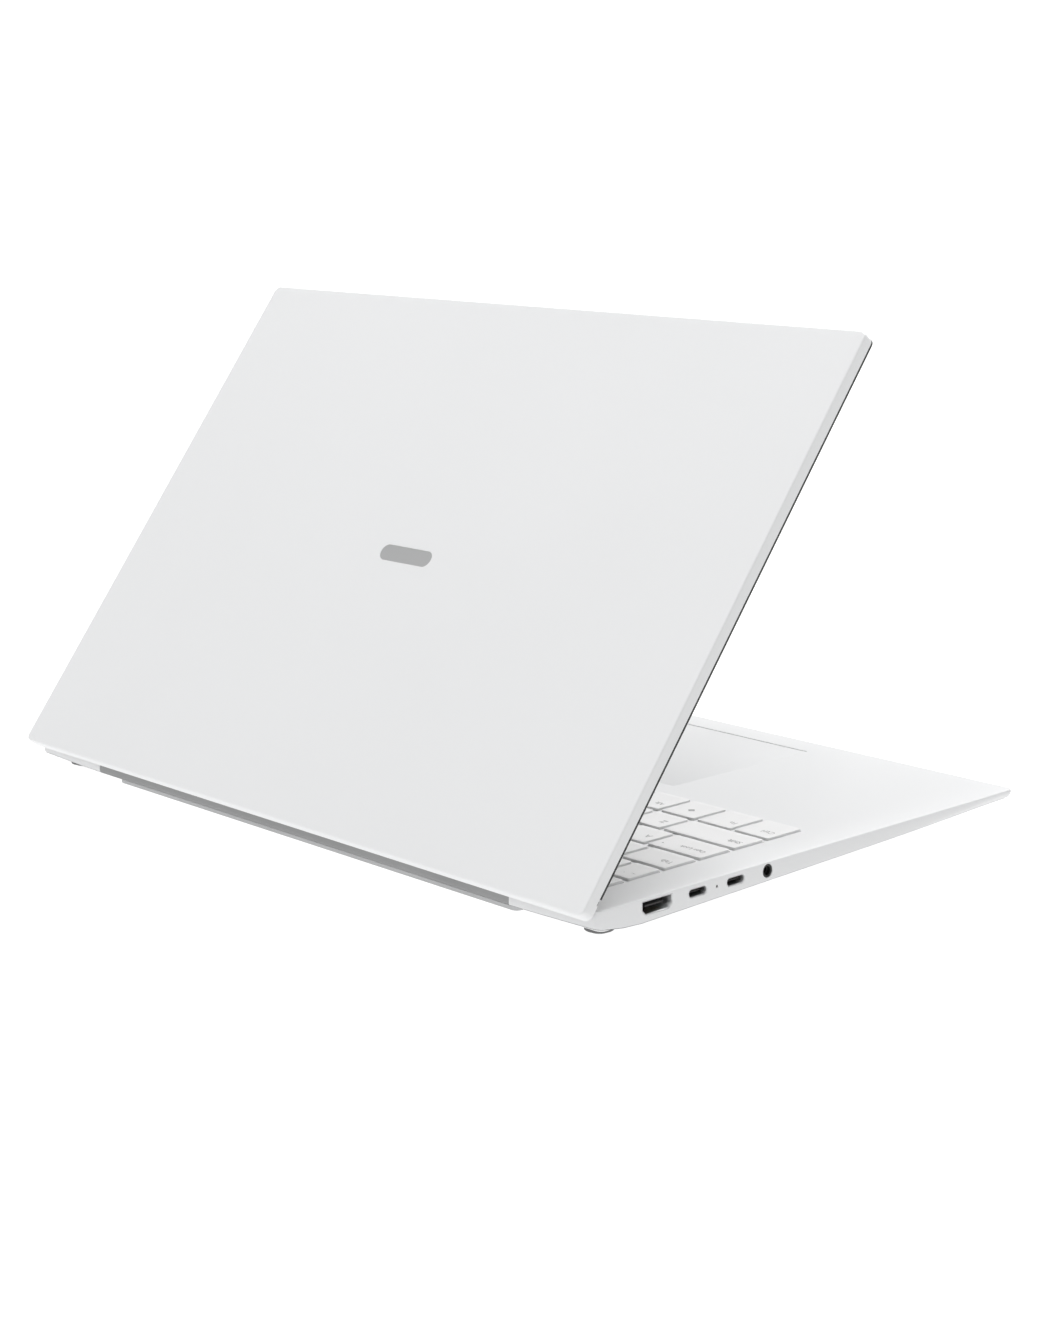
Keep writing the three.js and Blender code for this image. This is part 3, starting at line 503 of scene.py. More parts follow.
def legend(key):
    """The printed sign of one key, near its rear left corner."""
    (x0, x1), (y0, y1) = key["x"], key["y"]
    label = key["label"]
    z = PRINT_Z + INK
    if label in ("left", "right", "up", "down"):
        return [arrow_skin((x0 + x1) / 2, (y0 + y1) / 2, DISH_Z + INK, label)]
    if not label:
        return []
    depth = y1 - y0
    if "\n" in label:
        top, low = label.split("\n")
        pair = ((top, x0 + 2.0), (low, x0 + 6.4))
        return [text_skin(sign, x, y1 - 5.8, z, PAIR_SIZE) for sign, x in pair]
    if len(label) == 1:
        return [text_skin(label, x0 + 4.5, y1 - min(7.4, 0.5 * depth), z, LETTER_SIZE, "CENTER")]
    if depth < 12 or x1 - x0 < 13:
        return [text_skin(label, x0 + 1.8, y1 - min(6.0, 0.5 * depth), z, SMALL_SIZE)]
    if " " in label:
        return [text_skin(label, x0 + 3.5, y1 - 6.8, z, LONG_WORD_SIZE)]
    return [text_skin(label, x0 + 2.35, y1 - 6.8, z, WORD_SIZE)]


def menu_sign(key):
    """A plain lozenge for the menu key."""
    (x0, x1), (y0, y1) = key["x"], key["y"]
    cx, cy = (x0 + x1) / 2, (y0 + y1) / 2 + LOZENGE_SHIFT
    half = LOZENGE_REACH
    corners = [(cx + half, cy), (cx, cy + half), (cx - half, cy), (cx, cy - half)]
    z = DISH_Z + INK / 2
    return [loft([level(corners, z), level(corners, z + 0.03)])]


def build_keys():
    """Caps and printed signs for every key body, and the power button's cap, level with the deck."""
    for node, keys in KEYS.items():
        caps = merged(*(keycap(k) for k in keys))
        piece(f"{node}_caps", caps, node, "key", "key_white", replaces=[node], sharp=40)
        signs = [sign for key in keys for sign in legend(key)]
        if node == "key_menu":
            signs += menu_sign(keys[0])
        if node == "key_caps_lock":
            lamp = circle(keys[0]["x"][1] - 3.55, keys[0]["y"][1] - 4.85, 0.38, 12)
            signs.append(loft([level(lamp, PRINT_Z), level(lamp, PRINT_Z + 2 * INK)]))
        if signs:
            piece(f"{node}_legends", merged(*signs), node, "legend", "key_white")
    skin = keycap(POWER_KEY, top=0.0, foot=POWER_FOOT)
    piece("power_button_cap", skin, "power_button", "key", "key_white", replaces=["power_button"], sharp=40)


# ------------------------------------------------------------------ base casing

FRONT_WALL_DEPTH = 3.6
WALL_SLOPE = 0.0252
WALL_LEVEL_Y = 95.0
CORNER_CURVE = 0.0066
CORNER_CURVE_LENGTH = 13.5
CORNER_SLOPE = 0.145
CORNER_BOTTOM = -6.4
# The lower edge of the rear wall: distances from the middle, and heights.
REAR_EDGE = [(178, -6.2), (174, -6.75), (163, -7.16), (147, -7.6), (132, -7.87)]
FRONT_TUCK = 1.6
TUCK_START = -40
TUCK_LENGTH = 80
TUCK_RAISE = 2.1


def wall_depth(y):
    """How deep the side wall is below the deck, which grows towards the rear."""
    return FRONT_WALL_DEPTH + WALL_SLOPE * (min(y, WALL_LEVEL_Y) - BASE_FRONT)


def wall_bottom(x, y):
    """Height of the side wall's lower edge, which rises towards the rear corners."""
    past = max(y - WALL_LEVEL_Y, 0)
    curved = min(past, CORNER_CURVE_LENGTH)
    side = CORNER_CURVE * curved ** 2 + CORNER_SLOPE * (past - curved) - wall_depth(y)
    if past:
        side = min(side, CORNER_BOTTOM)
    if y < BASE_REAR - CORNER_RADIUS:
        return side
    for (x0, z0), (x1, z1) in zip(REAR_EDGE, REAR_EDGE[1:]):
        if abs(x) >= x1:
            return min(side, z0 + (z1 - z0) * (x0 - abs(x)) / (x0 - x1))
    return REAR_EDGE[-1][1]


def tuck(y):
    """How far the side wall's lower edge is drawn in towards the front, as a share from 0 to 1."""
    t = min(max((TUCK_START - y) / TUCK_LENGTH, 0), 1)
    return t * t * (3 - 2 * t)


def lower_ring(inset, share, lift):
    """A ring near the lower edge of the side wall, drawn in towards the front by a share of the tuck."""
    outer, inner = base_outline(inset), base_outline(inset + FRONT_TUCK * share)
    ring = []
    for (x0, y0), (x1, y1) in zip(outer, inner):
        t = tuck(y0)
        raised = lift + t * TUCK_RAISE * (1 - share) ** 2
        ring.append((x0 + (x1 - x0) * t, y0 + (y1 - y0) * t, wall_bottom(x0, y0) + raised))
    return ring


def base_outline(inset):
    """The base's plan, with its long sides divided so that their lower edge can curve."""
    radius = max(CORNER_RADIUS - inset, 1.0)
    x = (-HALF_WIDTH + inset, HALF_WIDTH - inset)
    return rounded_rectangle(x, (BASE_FRONT + inset, BASE_REAR - inset), radius, 10, 24)


def key_opening(key):
    """The hole in the deck for one key, with a fine chamfer round its upper edge."""
    (x0, x1), (y0, y1) = key["x"], key["y"]

    def ring(grow, z):
        grow += KEY_CLEARANCE
        return level(rounded_rectangle((x0 - grow, x1 + grow), (y0 - grow, y1 + grow), 0.15 + grow, 4), z)

    return loft([ring(0, -DECK - 1), ring(0, -0.08), ring(0.07, 0), ring(0.07, 1)])


def stadium(y, z, width, height, grow=0.0):
    """A socket's outline with fully round ends."""
    half_w, half_h = width / 2 + grow, height / 2 + grow
    return rounded_rectangle((y - half_w, y + half_w), (z - half_h, z + half_h), half_h - 0.01, 8)


def slot_outline(y, z, width, height, grow=0.0):
    """A socket's outline with small round corners."""
    half_w, half_h = width / 2 + grow, height / 2 + grow
    return rounded_rectangle((y - half_w, y + half_w), (z - half_h, z + half_h), 0.35 + grow, 3)


def keystone(y, z, width, height, grow=0.0):
    """A wide socket whose two lower corners are cut off at a slant."""
    left, right = y - width / 2 - grow, y + width / 2 + grow
    low, high = z - height / 2 - grow, z + height / 2 + grow
    slant = 0.35 * height + 0.4 * grow
    lower = [(left + slant, low), (right - slant, low), (right, low + slant)]
    return [*lower, (right, high), (left, high), (left, low + slant)]


HDMI = {"size": (14.6, 4.4), "shell": 0.35, "form": keystone, "depth": 11, "tongue": (9.5, 1.0)}
USB_C = {"size": (8.9, 2.6), "shell": 0.3, "form": stadium, "depth": 8, "tongue": (6.6, 0.7)}
USB_A = {"size": (13.1, 4.8), "shell": 0.35, "form": slot_outline, "depth": 12, "tongue": (11, 1.6)}
CARD = {"size": (12, 1.6), "shell": 0.3, "form": slot_outline, "depth": 12, "tongue": (2, 0.4)}
PORTS = [
    {"name": "hdmi_port", "side": -1, "y": 86.7, "z": -3.72, **HDMI},
    {"name": "usb_c_port_rear", "side": -1, "y": 65.75, "z": -3.48, **USB_C},
    {"name": "usb_c_port_front", "side": -1, "y": 45.6, "z": -3.48, **USB_C},
    {"name": "usb_a_port_rear", "side": 1, "y": 80, "z": -4.1, **USB_A},
    {"name": "usb_a_port_front", "side": 1, "y": 58, "z": -4.1, **USB_A},
    {"name": "card_slot", "side": 1, "y": 34, "z": -3.5, **CARD},
]
JACK = {"y": 28.1, "z": -3.45, "radius": 2.55, "bore": 1.8, "depth": 12}
LIGHT = {"y": 55.65, "z": -3.55, "radius": 0.5}
THIN_TONGUE = 0.5
LOCK_SLOT = (101, -3.6, 7, 3)
MOUTH_CHAMFER = 0.22


def wall_skin(side, rings):
    """A skin through (outline in y and z, distance in from the wall's face) pairs, on one side wall."""
    placed = [[(y, z, side * (HALF_WIDTH - inward)) for y, z in outline] for outline, inward in rings]
    return turned(loft(placed), ALONG_X)


def mouth(side, form, y, z, width, height, shell):
    """The cutter for one socket: through the wall, with a fine chamfer at the face."""
    snug, soft = shell + 0.05, MOUTH_CHAMFER
    rings = [(form(y, z, width, height, snug + soft), -1), (form(y, z, width, height, snug + soft), 0)]
    rings += [(form(y, z, width, height, snug), soft), (form(y, z, width, height, snug), WALL + 2)]
    return wall_skin(side, rings)


def round_mouth(side, y, z, radius, chamfer=MOUTH_CHAMFER):
    """The cutter for one round hole in a side wall, chamfered like the others."""
    rings = [(circle(y, z, radius + chamfer), -1), (circle(y, z, radius + chamfer), 0)]
    rings += [(circle(y, z, radius), chamfer), (circle(y, z, radius), WALL + 2)]
    return wall_skin(side, rings)


VENT_HALF_WIDTH = 131.6
VENT_TALL_HALF_WIDTH = 104.2
VENT_Z = (-7.85, -4.6)
VENT_TALL_TOP = -1.3
VENT_Y = (114.9, 116.2)
VENT_SLOTS = 44
VENT_SLOT_Z = (-3.6, -1.7)
HINGE_Y = 116.53
# The gap in the rear wall for a hinge: distances from the middle, and its front and lower limits.
HINGE_GAP_X = (105.5, 126.5)
HINGE_GAP_FRONT = 114.4
HINGE_GAP_BOTTOM = -3.6
TOUCHPAD = {"x": (-78.2, 52.8), "y": (-108, -25)}
DECK_FILLET = 0.5


def rear_plan(grow, bottom):
    """The outline, in x and z, of the opening in the rear wall or of the grille in it."""
    wide, tall = VENT_HALF_WIDTH + grow, VENT_TALL_HALF_WIDTH + grow
    step, top = VENT_Z[1] + grow, VENT_TALL_TOP + grow
    right = [(wide, bottom), (wide, step), (tall, step), (tall, top)]
    return right + [(-x, z) for x, z in reversed(right)]


def along_y(outline, y):
    """A closed skin that follows an outline in x and z between two distances to the rear."""
    return loft([[(x, depth, z) for x, z in outline] for depth in y])


def build_top_case():
    """The deck and side walls, with openings for keys, touchpad, sockets, vent and hinges."""
    angles = [math.radians(22.5 * i) for i in range(5)]
    rounding = [(DECK_FILLET * (1 - math.cos(a)), -DECK_FILLET * (1 - math.sin(a))) for a in angles]
    outer = [level(base_outline(inset), z) for inset, z in reversed(rounding)]
    rings = [
        *outer,
        lower_ring(0, 0, 0.5),
        lower_ring(0.02, 0.15, 0.35),
        lower_ring(0.1, 0.5, 0.14),
        lower_ring(0.4, 1, 0),
        lower_ring(WALL, 1, 0),
        level(base_outline(WALL), -DECK),
    ]
    case = new_object("deck_and_walls", loft(rings))
    holes = [key_opening(key) for keys in KEYS.values() for key in keys]
    holes += [key_opening(POWER_KEY), key_opening(TOUCHPAD)]
    carve(case, holes)
    cutters = [mouth(p["side"], p["form"], p["y"], p["z"], *p["size"], p["shell"]) for p in PORTS]
    cutters.append(round_mouth(-1, JACK["y"], JACK["z"], JACK["radius"] + 0.08))
    cutters.append(round_mouth(-1, LIGHT["y"], LIGHT["z"], LIGHT["radius"] + 0.05, 0.06))
    cutters.append(mouth(1, slot_outline, *LOCK_SLOT, -0.1))
    cutters.append(along_y(rear_plan(0.25, 2 * BOTTOM_Z), (BASE_REAR - WALL - 1, BASE_REAR + 1)))
    for side in (-1, 1):
        x = sorted(side * limit for limit in HINGE_GAP_X)
        cutters.append(box(x, (HINGE_GAP_FRONT, BASE_REAR + 1), (HINGE_GAP_BOTTOM, 1)))
    carve(case, cutters)
    finish_piece(case, "base", "casing", "casing_white", replaces=["top_case"], sharp=30)


def build_touchpad():
    """A plate with a softened edge, just below the deck's surface."""
    (x0, x1), (y0, y1) = TOUCHPAD["x"], TOUCHPAD["y"]

    def ring(inset, z):
        return level(rounded_rectangle((x0 + inset, x1 - inset), (y0 + inset, y1 - inset), 0.6 - inset, 6), z)

    rings = [ring(0, -1.6), ring(0, -0.3), ring(0.06, -0.19), ring(0.2, -0.15)]
    piece("touchpad_plate", loft(rings), "touchpad", "touchpad", "touchpad_white", replaces=["touchpad"])


BOTTOM_Z = -10.7
BOTTOM_FRONT = -97.0
BOTTOM_REAR = 109.0
UNDERSIDE_SLOPE = 0.27
FEET = {
    "foot_front_left": (-128, -82),
    "foot_front_right": (128, -82),
    "foot_rear_left": (-165, 103),
    "foot_rear_right": (165, 103),
}
FOOT_BAR = {"x": (-128, 128), "y": (103.5, 109)}
FOOT_PIT_RADIUS = 5.8
FLOOR_Z = BOTTOM_Z - 2.4
SCREW_PIT_RADIUS = 2.6
SCREWS = [(x, y) for x in (-140, 0, 140) for y in (-88, 90)] + [(x, 10) for x in (-150, 150)]
# The fan's intake: the middle, the pitches, and half the size of one slot.
INTAKE = {"middle": (60, 66), "pitch": (2.8, 13), "half": (0.65, 5), "columns": 22, "rows": 4}


def floor_outline(rim, share=1.0):
    """The rim's outline moved in towards the flat floor of the underside, by a share of the way."""
    moved = []
    for x, y in rim:
        along = BOTTOM_FRONT + (y - BASE_FRONT) * (BOTTOM_REAR - BOTTOM_FRONT) / (BASE_REAR - BASE_FRONT)
        inset = (-wall_depth(along) - BOTTOM_Z) / UNDERSIDE_SLOPE
        moved.append((x + share * (x * (HALF_WIDTH - inset) / HALF_WIDTH - x), y + share * (along - y)))
    return moved


def slope_ring(rim, share, lift=0.0):
    """A ring part of the way down the sloped underside."""
    low = floor_outline(rim, share)
    start = [wall_bottom(x, y) - 0.2 for x, y in rim]
    return [(x, y, z + share * (BOTTOM_Z - z) + lift) for (x, y), z in zip(low, start)]


def bar_outline(inset):
    """The plan of the long rear foot."""
    (x0, x1), (y0, y1) = FOOT_BAR["x"], FOOT_BAR["y"]
    radius = (y1 - y0) / 2 - inset - 0.01
    return rounded_rectangle((x0 + inset, x1 - inset), (y0 + inset, y1 - inset), radius, 8)


def pit(outline, depth):
    """A cutter for a recess in the underside."""
    return loft([level(outline, BOTTOM_Z - 1), level(outline, BOTTOM_Z + depth)])


def intake_slots():
    """Outlines of the round-ended slots under the fan."""
    (cx, cy), (pitch_x, pitch_y), (half_x, half_y) = INTAKE["middle"], INTAKE["pitch"], INTAKE["half"]
    outlines = []
    for row in range(INTAKE["rows"]):
        for column in range(INTAKE["columns"]):
            x = cx + (column - (INTAKE["columns"] - 1) / 2) * pitch_x
            y = cy + (row - (INTAKE["rows"] - 1) / 2) * pitch_y
            corners = (x - half_x, x + half_x), (y - half_y, y + half_y)
            outlines.append(rounded_rectangle(*corners, half_x - 0.01, 3))
    return outlines


def build_bottom_cover():
    """The sloped underside, with pits for feet and screws and the fan's intake."""
    rim = [(x, y) for x, y, z in lower_ring(0.25, 1, 0)]
    inner = base_outline(4.5)
    rings = [
        level(floor_outline(inner), BOTTOM_Z + 1),
        level(inner, lambda x, y: wall_bottom(x, y) - 0.4),
        lower_ring(0.6, 1, -0.2),
        slope_ring(rim, 0.02),
        slope_ring(rim, 0.5),
        slope_ring(rim, 0.96, 0.05),
        level(floor_outline(rim, 1.05), BOTTOM_Z),
    ]
    cover = new_object("underside_cover", loft(rings))
    cutters = [pit(circle(x, y, FOOT_PIT_RADIUS), 0.6) for x, y in FEET.values()]
    cutters += [pit(circle(x, y, SCREW_PIT_RADIUS), 0.7) for x, y in SCREWS]
    cutters.append(pit(bar_outline(-0.3), 0.6))
    cutters += [pit(outline, 3) for outline in intake_slots()]
    carve(cover, cutters)
    finish_piece(cover, "base", "casing", "casing_white", replaces=["bottom_cover"], sharp=30)


def build_feet():
    """Four round feet, each a disc coloured dark as painted shade with a lighter pad on it, and the long rear
    one.
    """
    step = FLOOR_Z + 1
    for name, (x, y) in FEET.items():
        disc = [(2.0, step), (5.2, step), (5.45, step + 0.15), (5.5, step + 0.4), (5.5, BOTTOM_Z + 0.3)]
        rings = [level(circle(x, y, radius, 40), z) for radius, z in disc]
        # The disc's dark colour is painted shade.
        piece(f"{name}_disc", loft(rings), "base", "foot_disc", "foot_rubber", replaces=[name], sharp=50)
        pad = [(0.5, FLOOR_Z + 0.15), (1.6, FLOOR_Z + 0.15), (1.8, FLOOR_Z), (2.9, FLOOR_Z)]
        pad += [(3.15, FLOOR_Z + 0.12), (3.2, FLOOR_Z + 0.35), (3.2, step - 0.02)]
        rings = [level(circle(x, y, radius, 40), z) for radius, z in pad]
        piece(f"{name}_pad", loft(rings), "base", "foot", "foot_rubber", sharp=50)
    rings = [level(bar_outline(inset), z) for inset, z in ((0.5, FLOOR_Z), (0.15, FLOOR_Z + 0.12))]
    rings += [level(bar_outline(0), z) for z in (FLOOR_Z + 0.5, BOTTOM_Z + 0.3)]
    piece("foot_rear_bar_strip", loft(rings), "base", "foot", "foot_rubber", replaces=["foot_rear_bar"])


def build_screws():
    """Screw heads with a cross recess."""
    profile = [(1.9, BOTTOM_Z + 0.08), (2.3, BOTTOM_Z + 0.25), (2.3, BOTTOM_Z + 0.7)]
    arm, half = 1.2, 0.2
    recess = (BOTTOM_Z - 1, BOTTOM_Z + 0.45)
    heads = []
    crosses = []
    for x, y in SCREWS:
        heads.append(loft([level(circle(x, y, radius, 24), z) for radius, z in profile]))
        crosses.append(box((x - arm, x + arm), (y - half, y + half), recess))
        crosses.append(box((x - half, x + half), (y - arm, y - half - 0.01), recess))
        crosses.append(box((x - half, x + half), (y + half + 0.01, y + arm), recess))
    screws = new_object("case_screws", merged(*heads))
    carve(screws, crosses)
    finish_piece(screws, "base", "steel", "hinge_steel")


def build_vent():
    """The grille in the rear wall: plain below, with slots in the part behind the lid's edge; its grey is
    partly its own colour and partly painted shade.
    """
    pitch = 2 * VENT_TALL_HALF_WIDTH / (VENT_SLOTS + 1)
    half = 0.34 * pitch
    grille = new_object("rear_vent_grille", along_y(rear_plan(0, VENT_Z[0]), VENT_Y))
    cutters = []
    for i in range(VENT_SLOTS):
        middle = (i - (VENT_SLOTS - 1) / 2) * pitch
        outline = rounded_rectangle((middle - half, middle + half), VENT_SLOT_Z, 0.6, 3)
        cutters.append(along_y(outline, (118, 113)))
    carve(grille, cutters)
    finish_piece(grille, "base", "vent", "vent_grey", replaces=["rear_vent"], bevel=0.1)


def port_contacts(port):
    """Gold strips along one face of a socket's tongue."""
    y, z, depth = port["y"], port["z"], port["depth"]
    blade_w, blade_h = port["tongue"]
    count = 5 if port["name"].startswith("usb_a") else 9
    face = (z + blade_h / 2 - 0.02, z + blade_h / 2 + 0.06)
    if port["name"] == "hdmi_port":
        face = (z - blade_h / 2 - 0.06, z - blade_h / 2 + 0.02)
    contacts = []
    for i in range(count):
        cy = y + (i - (count - 1) / 2) * 0.85 * blade_w / count
        strip = rounded_rectangle((cy - 0.16, cy + 0.16), face, 0.03, 1)
        contacts.append(wall_skin(port["side"], [(strip, 2.4), (strip, depth - 2)]))
    return merged(*contacts)


def build_ports():
    """Each socket is a steel shell, a black core with a tongue, and gold contacts on a thick tongue."""
    for port in PORTS:
        node, form, side, shell, depth = (port[key] for key in ("name", "form", "side", "shell", "depth"))
        place = (port["y"], port["z"], *port["size"])
        lip = 0.14
        profile = [(0, depth - 1), (0, 0.3), (0.16, 0), (shell - 0.08, 0), (shell, 0.08), (shell, depth)]
        steel = wall_skin(side, [(form(*place, grow), lip + inward) for grow, inward in profile])
        piece(f"{node}_shell", steel, "base", "port", "port_steel", replaces=[node], sharp=40)
        stages = ((-0.2, 1.8), (0.0, 2.1), (0.0, depth))
        tongue = (port["y"], port["z"], *port["tongue"])
        blade = [(slot_outline(*tongue, grow), inward) for grow, inward in stages]
        back = [(form(*place, -0.05), inward) for inward in (depth - 0.9, depth - 0.75)]
        core = merged(wall_skin(side, blade), wall_skin(side, back))
        piece(f"{node}_core", core, "base", "port_black", "black_plastic")
        if port["tongue"][1] > THIN_TONGUE:
            piece(f"{node}_contacts", port_contacts(port), "base", "contact", "port_steel")


def build_jack():
    """A black collar round the headphone jack's bore, with a steel contact ring inside."""
    y, z = JACK["y"], JACK["z"]
    radius, bore, depth = JACK["radius"], JACK["bore"], JACK["depth"]
    profile = [(bore, depth - 1), (bore, 0.5), (bore + 0.2, 0.3), (radius - 0.12, 0.25)]
    profile += [(radius, 0.37), (radius, depth)]
    skin = wall_skin(-1, [(circle(y, z, size), inward) for size, inward in profile])
    piece("audio_jack_body", skin, "base", "port_black", "black_plastic", replaces=["audio_jack"], sharp=40)
    profile = [(bore - 0.25, 3.2), (bore - 0.25, 2.2), (bore - 0.02, 2.2), (bore - 0.02, 3.2)]
    skin = wall_skin(-1, [(circle(y, z, size), inward) for size, inward in profile])
    piece("audio_jack_ring", skin, "base", "port", "port_steel")


def build_light():
    """The small lens of the charge light, between the two USB-C sockets."""
    y, z, radius = LIGHT["y"], LIGHT["z"], LIGHT["radius"]
    profile = [(radius, 3), (radius, 0.32), (0.7 * radius, 0.25)]
    skin = wall_skin(-1, [(circle(y, z, size, 20), inward) for size, inward in profile])
    piece("charge_light_lens", skin, "base", "light", "light_lens", replaces=["charge_light"])


# ------------------------------------------------------------------ lid, shaped closed

LID_REST_Z = 0.4
LID_EDGE = 0.8
LID_WALL = 1.6
RAIL_FRONT = 113.6
EMBLEM_HALF = (15.5, 3.6)
EMBLEM_Y = -0.5
SCREEN_X = 172.3
SCREEN_Y = (-113.4, 102)
PANEL = {"x": (-174.3, 174.3), "y": (-113.9, 108), "z": (2.25, 4.3)}
CAMERA_Y = -116.1
STRIP_Y = (111.9, 113.4)
STRIP_INSET = 1.9
HINGE_WEB_X = (117.4, 126.6)


def lid_outline(inset):
    """The lid's plan."""
    radius = max(CORNER_RADIUS - inset, 1.0)
    x = (-HALF_WIDTH + inset, HALF_WIDTH - inset)
    return rounded_rectangle(x, (LID_FRONT + inset, LID_REAR - inset), radius, 10)


def emblem_outline(inset):
    """The plan of the inlay, a pill."""
    half_x, half_y = EMBLEM_HALF[0] - inset, EMBLEM_HALF[1] - inset
    y = (EMBLEM_Y - half_y, EMBLEM_Y + half_y)
    return rounded_rectangle((-half_x, half_x), y, half_y - 0.01, 12)


def build_lid_cover():
    """A thin tray with a rounded edge, open towards the screen, with a rail along the hinge side."""
    angles = [math.radians(15 * i) for i in range(7)]
    rounding = [(LID_EDGE * (1 - math.cos(a)), LID_TOP_Z - LID_EDGE * (1 - math.sin(a))) for a in angles]
    rings = [
        level(lid_outline(3.2), 4.6),
        level(lid_outline(3.2), 2.25),
        level(lid_outline(LID_WALL), 2.25),
        level(lid_outline(LID_WALL), LID_REST_Z),
        level(lid_outline(0.3), LID_REST_Z),
        level(lid_outline(0.08), LID_REST_Z + 0.1),
        level(lid_outline(0), LID_REST_Z + 0.35),
        *(level(lid_outline(inset), z) for inset, z in rounding),
    ]
    cover = new_object("lid_shell", loft(rings), LID_TO_ROW)
    carve(cover, [slab((-FAR, RAIL_FRONT), (-5, LID_COVER_Z))], LID_TO_ROW)
    heights = (LID_TOP_Z - 0.6, LID_TOP_Z - 0.06)
    pocket = [level(emblem_outline(0), z) for z in heights]
    pocket += [level(emblem_outline(-0.06), z) for z in (LID_TOP_Z, LID_TOP_Z + 1)]
    carve(cover, [loft(pocket)], LID_TO_ROW)
    finish_piece(cover, "lid", "casing", "casing_white", replaces=["lid_cover"], sharp=30)


def build_emblem():
    """A plain inlay with round ends."""
    top = LID_TOP_Z - 0.02
    stages = ((0.08, top - 0.45), (0.08, top - 0.05), (0.14, top))
    skin = loft([level(emblem_outline(inset), z) for inset, z in stages])
    piece("lid_inlay", skin, "lid", "emblem", "emblem_grey", LID_TO_ROW, replaces=["lid_emblem"])


def band(outer, inner, z, soft=0.12):
    """A closed band between two outlines that have the same number of points."""
    z0, z1 = z
    rings = [
        level(inner(0), z1), level(inner(0), z0 + soft), level(inner(-soft), z0),
        level(outer(soft), z0), level(outer(0), z0 + soft), level(outer(0), z1),
    ]
    count = len(rings[0])
    vertices = [point for ring in rings for point in ring]
    faces = []
    for row in range(len(rings)):
        for i in range(count):
            a, b = row * count + i, row * count + (i + 1) % count
            c, d = (row + 1) % len(rings) * count + (i + 1) % count, (row + 1) % len(rings) * count + i
            faces.append((a, b, c, d))
    return vertices, faces


def build_gasket():
    """The dark seal round the lid's edge, except along the hinge side."""
    skin = band(lid_outline, lambda s: lid_outline(LID_WALL + s), (0.2, 1.18), 0.06)
    strip = new_object("screen_edge_gasket", skin, LID_TO_ROW)
    carve(strip, [slab((111.0, FAR))], LID_TO_ROW)
    finish_piece(strip, "lid", "gasket", "gasket_rubber", replaces=["screen_gasket"], sharp=50)


def build_bezel():
    """The black frame round the screen, with a hole for the camera."""
    def window(s):
        x = (-SCREEN_X - s, SCREEN_X + s)
        return rounded_rectangle(x, (SCREEN_Y[0] - s, SCREEN_Y[1] + s), 1.2, 10)

    def rim(s):
        return lid_outline(1.75 + s)

    bezel = new_object("screen_bezel", band(rim, window, (1.35, 1.95)), LID_TO_ROW)
    lens = loft([level(circle(0, CAMERA_Y, 1.5), z) for z in (0, 4)])
    carve(bezel, [slab((111.5, FAR)), lens], LID_TO_ROW)
    finish_piece(bezel, "lid", "bezel", "black_plastic", replaces=["lid_bezel"], sharp=40)


def build_screen():
    """The display panel behind the bezel."""
    outline = rounded_rectangle(PANEL["x"], PANEL["y"], 1.0, 4)
    skin = loft([level(outline, z) for z in PANEL["z"]])
    replaced = {"replaces": ["display_panel"], "bevel": 0.15}
    piece("screen_panel", skin, "lid", "screen", "screen_glass", LID_TO_ROW, **replaced)


def build_camera():
    """The lens in the bezel's hole, and the board behind it."""
    profile = [(0.2, 1.62), (0.5, 1.6), (0.6, 1.5), (1.0, 1.5), (1.2, 1.62), (1.2, 2.0)]
    skin = loft([level(circle(0, CAMERA_Y, radius, 28), z) for radius, z in profile])
    piece("camera_lens", skin, "lid", "screen", "black_plastic", LID_TO_ROW)
    board = box((-12, 12), (CAMERA_Y - 1.8, CAMERA_Y + 1.8), (2.3, 4.3))
    piece("camera_board", board, "lid", "board", "circuit_board", LID_TO_ROW, replaces=["camera_module"])


def build_hinge_strip():
    """The strip along the lid's hinge side, notched for the two hinge webs, coloured near black as painted
    shade.
    """
    low = loft([level(lid_outline(0.55), 0.45), level(lid_outline(0.4), 0.6), level(lid_outline(0.4), 1.0)])
    high = loft([level(lid_outline(STRIP_INSET), z) for z in (0.45, 1.95)])
    strip = new_object("hinge_side_strip", low, LID_TO_ROW)
    carve(strip, [slab((STRIP_Y[1], FAR))], LID_TO_ROW)
    carve(strip, [high], LID_TO_ROW, "UNION")
    carve(strip, [slab((-FAR, STRIP_Y[0]))], LID_TO_ROW)
    notches = []
    for side in (-1, 1):
        x = sorted(side * limit for limit in HINGE_WEB_X)
        notches.append(box(x, (HINGE_Y - 1.6, FAR), (-5, 5)))
    carve(strip, notches, LID_TO_ROW)
    finish_piece(strip, "lid", "strip", "strip_grey", replaces=["hinge_strip"], sharp=40)


# ------------------------------------------------------------------ parts that keep their CAD shape

KEPT = {
    "keyboard_plate": "steel", "motherboard": "board", "battery": "battery", "fan_housing": "bezel",
    "fan_rotor": "bezel", "heat_spreader": "copper", "heat_pipe": "copper", "heat_sink": "copper",
    "solid_state_drive": "board", "wireless_card": "board", "speaker_left": "bezel", "speaker_right": "bezel",
    "hinge_bracket_left": "steel", "hinge_bracket_right": "steel",
    "hinge_leaf_left": "steel", "hinge_leaf_right": "steel",
}


def paint_kept_parts():
    """Materials for the inner parts and hinges, which are the CAD model's own meshes."""
    for node, material in KEPT.items():
        thing = frame["nodes"][node]
        thing.data.materials.clear()
        thing.data.materials.append(MATERIALS[material])


# ------------------------------------------------------------------ stage, light and camera

# The floor's glow under the laptop and far from it, and between which distances it changes, in metres.
GLOW_NEAR, GLOW_FAR = 0.95, 1.0
GLOW_START, GLOW_END = 0.4, 1.6
FLOOR_TONE = 0.16
# The sky's strength near the horizon and above it, and between which heights it changes.
SKY_LOW, SKY_HIGH = 1.08, 0.38
SKY_START, SKY_END = 0.045, 0.2


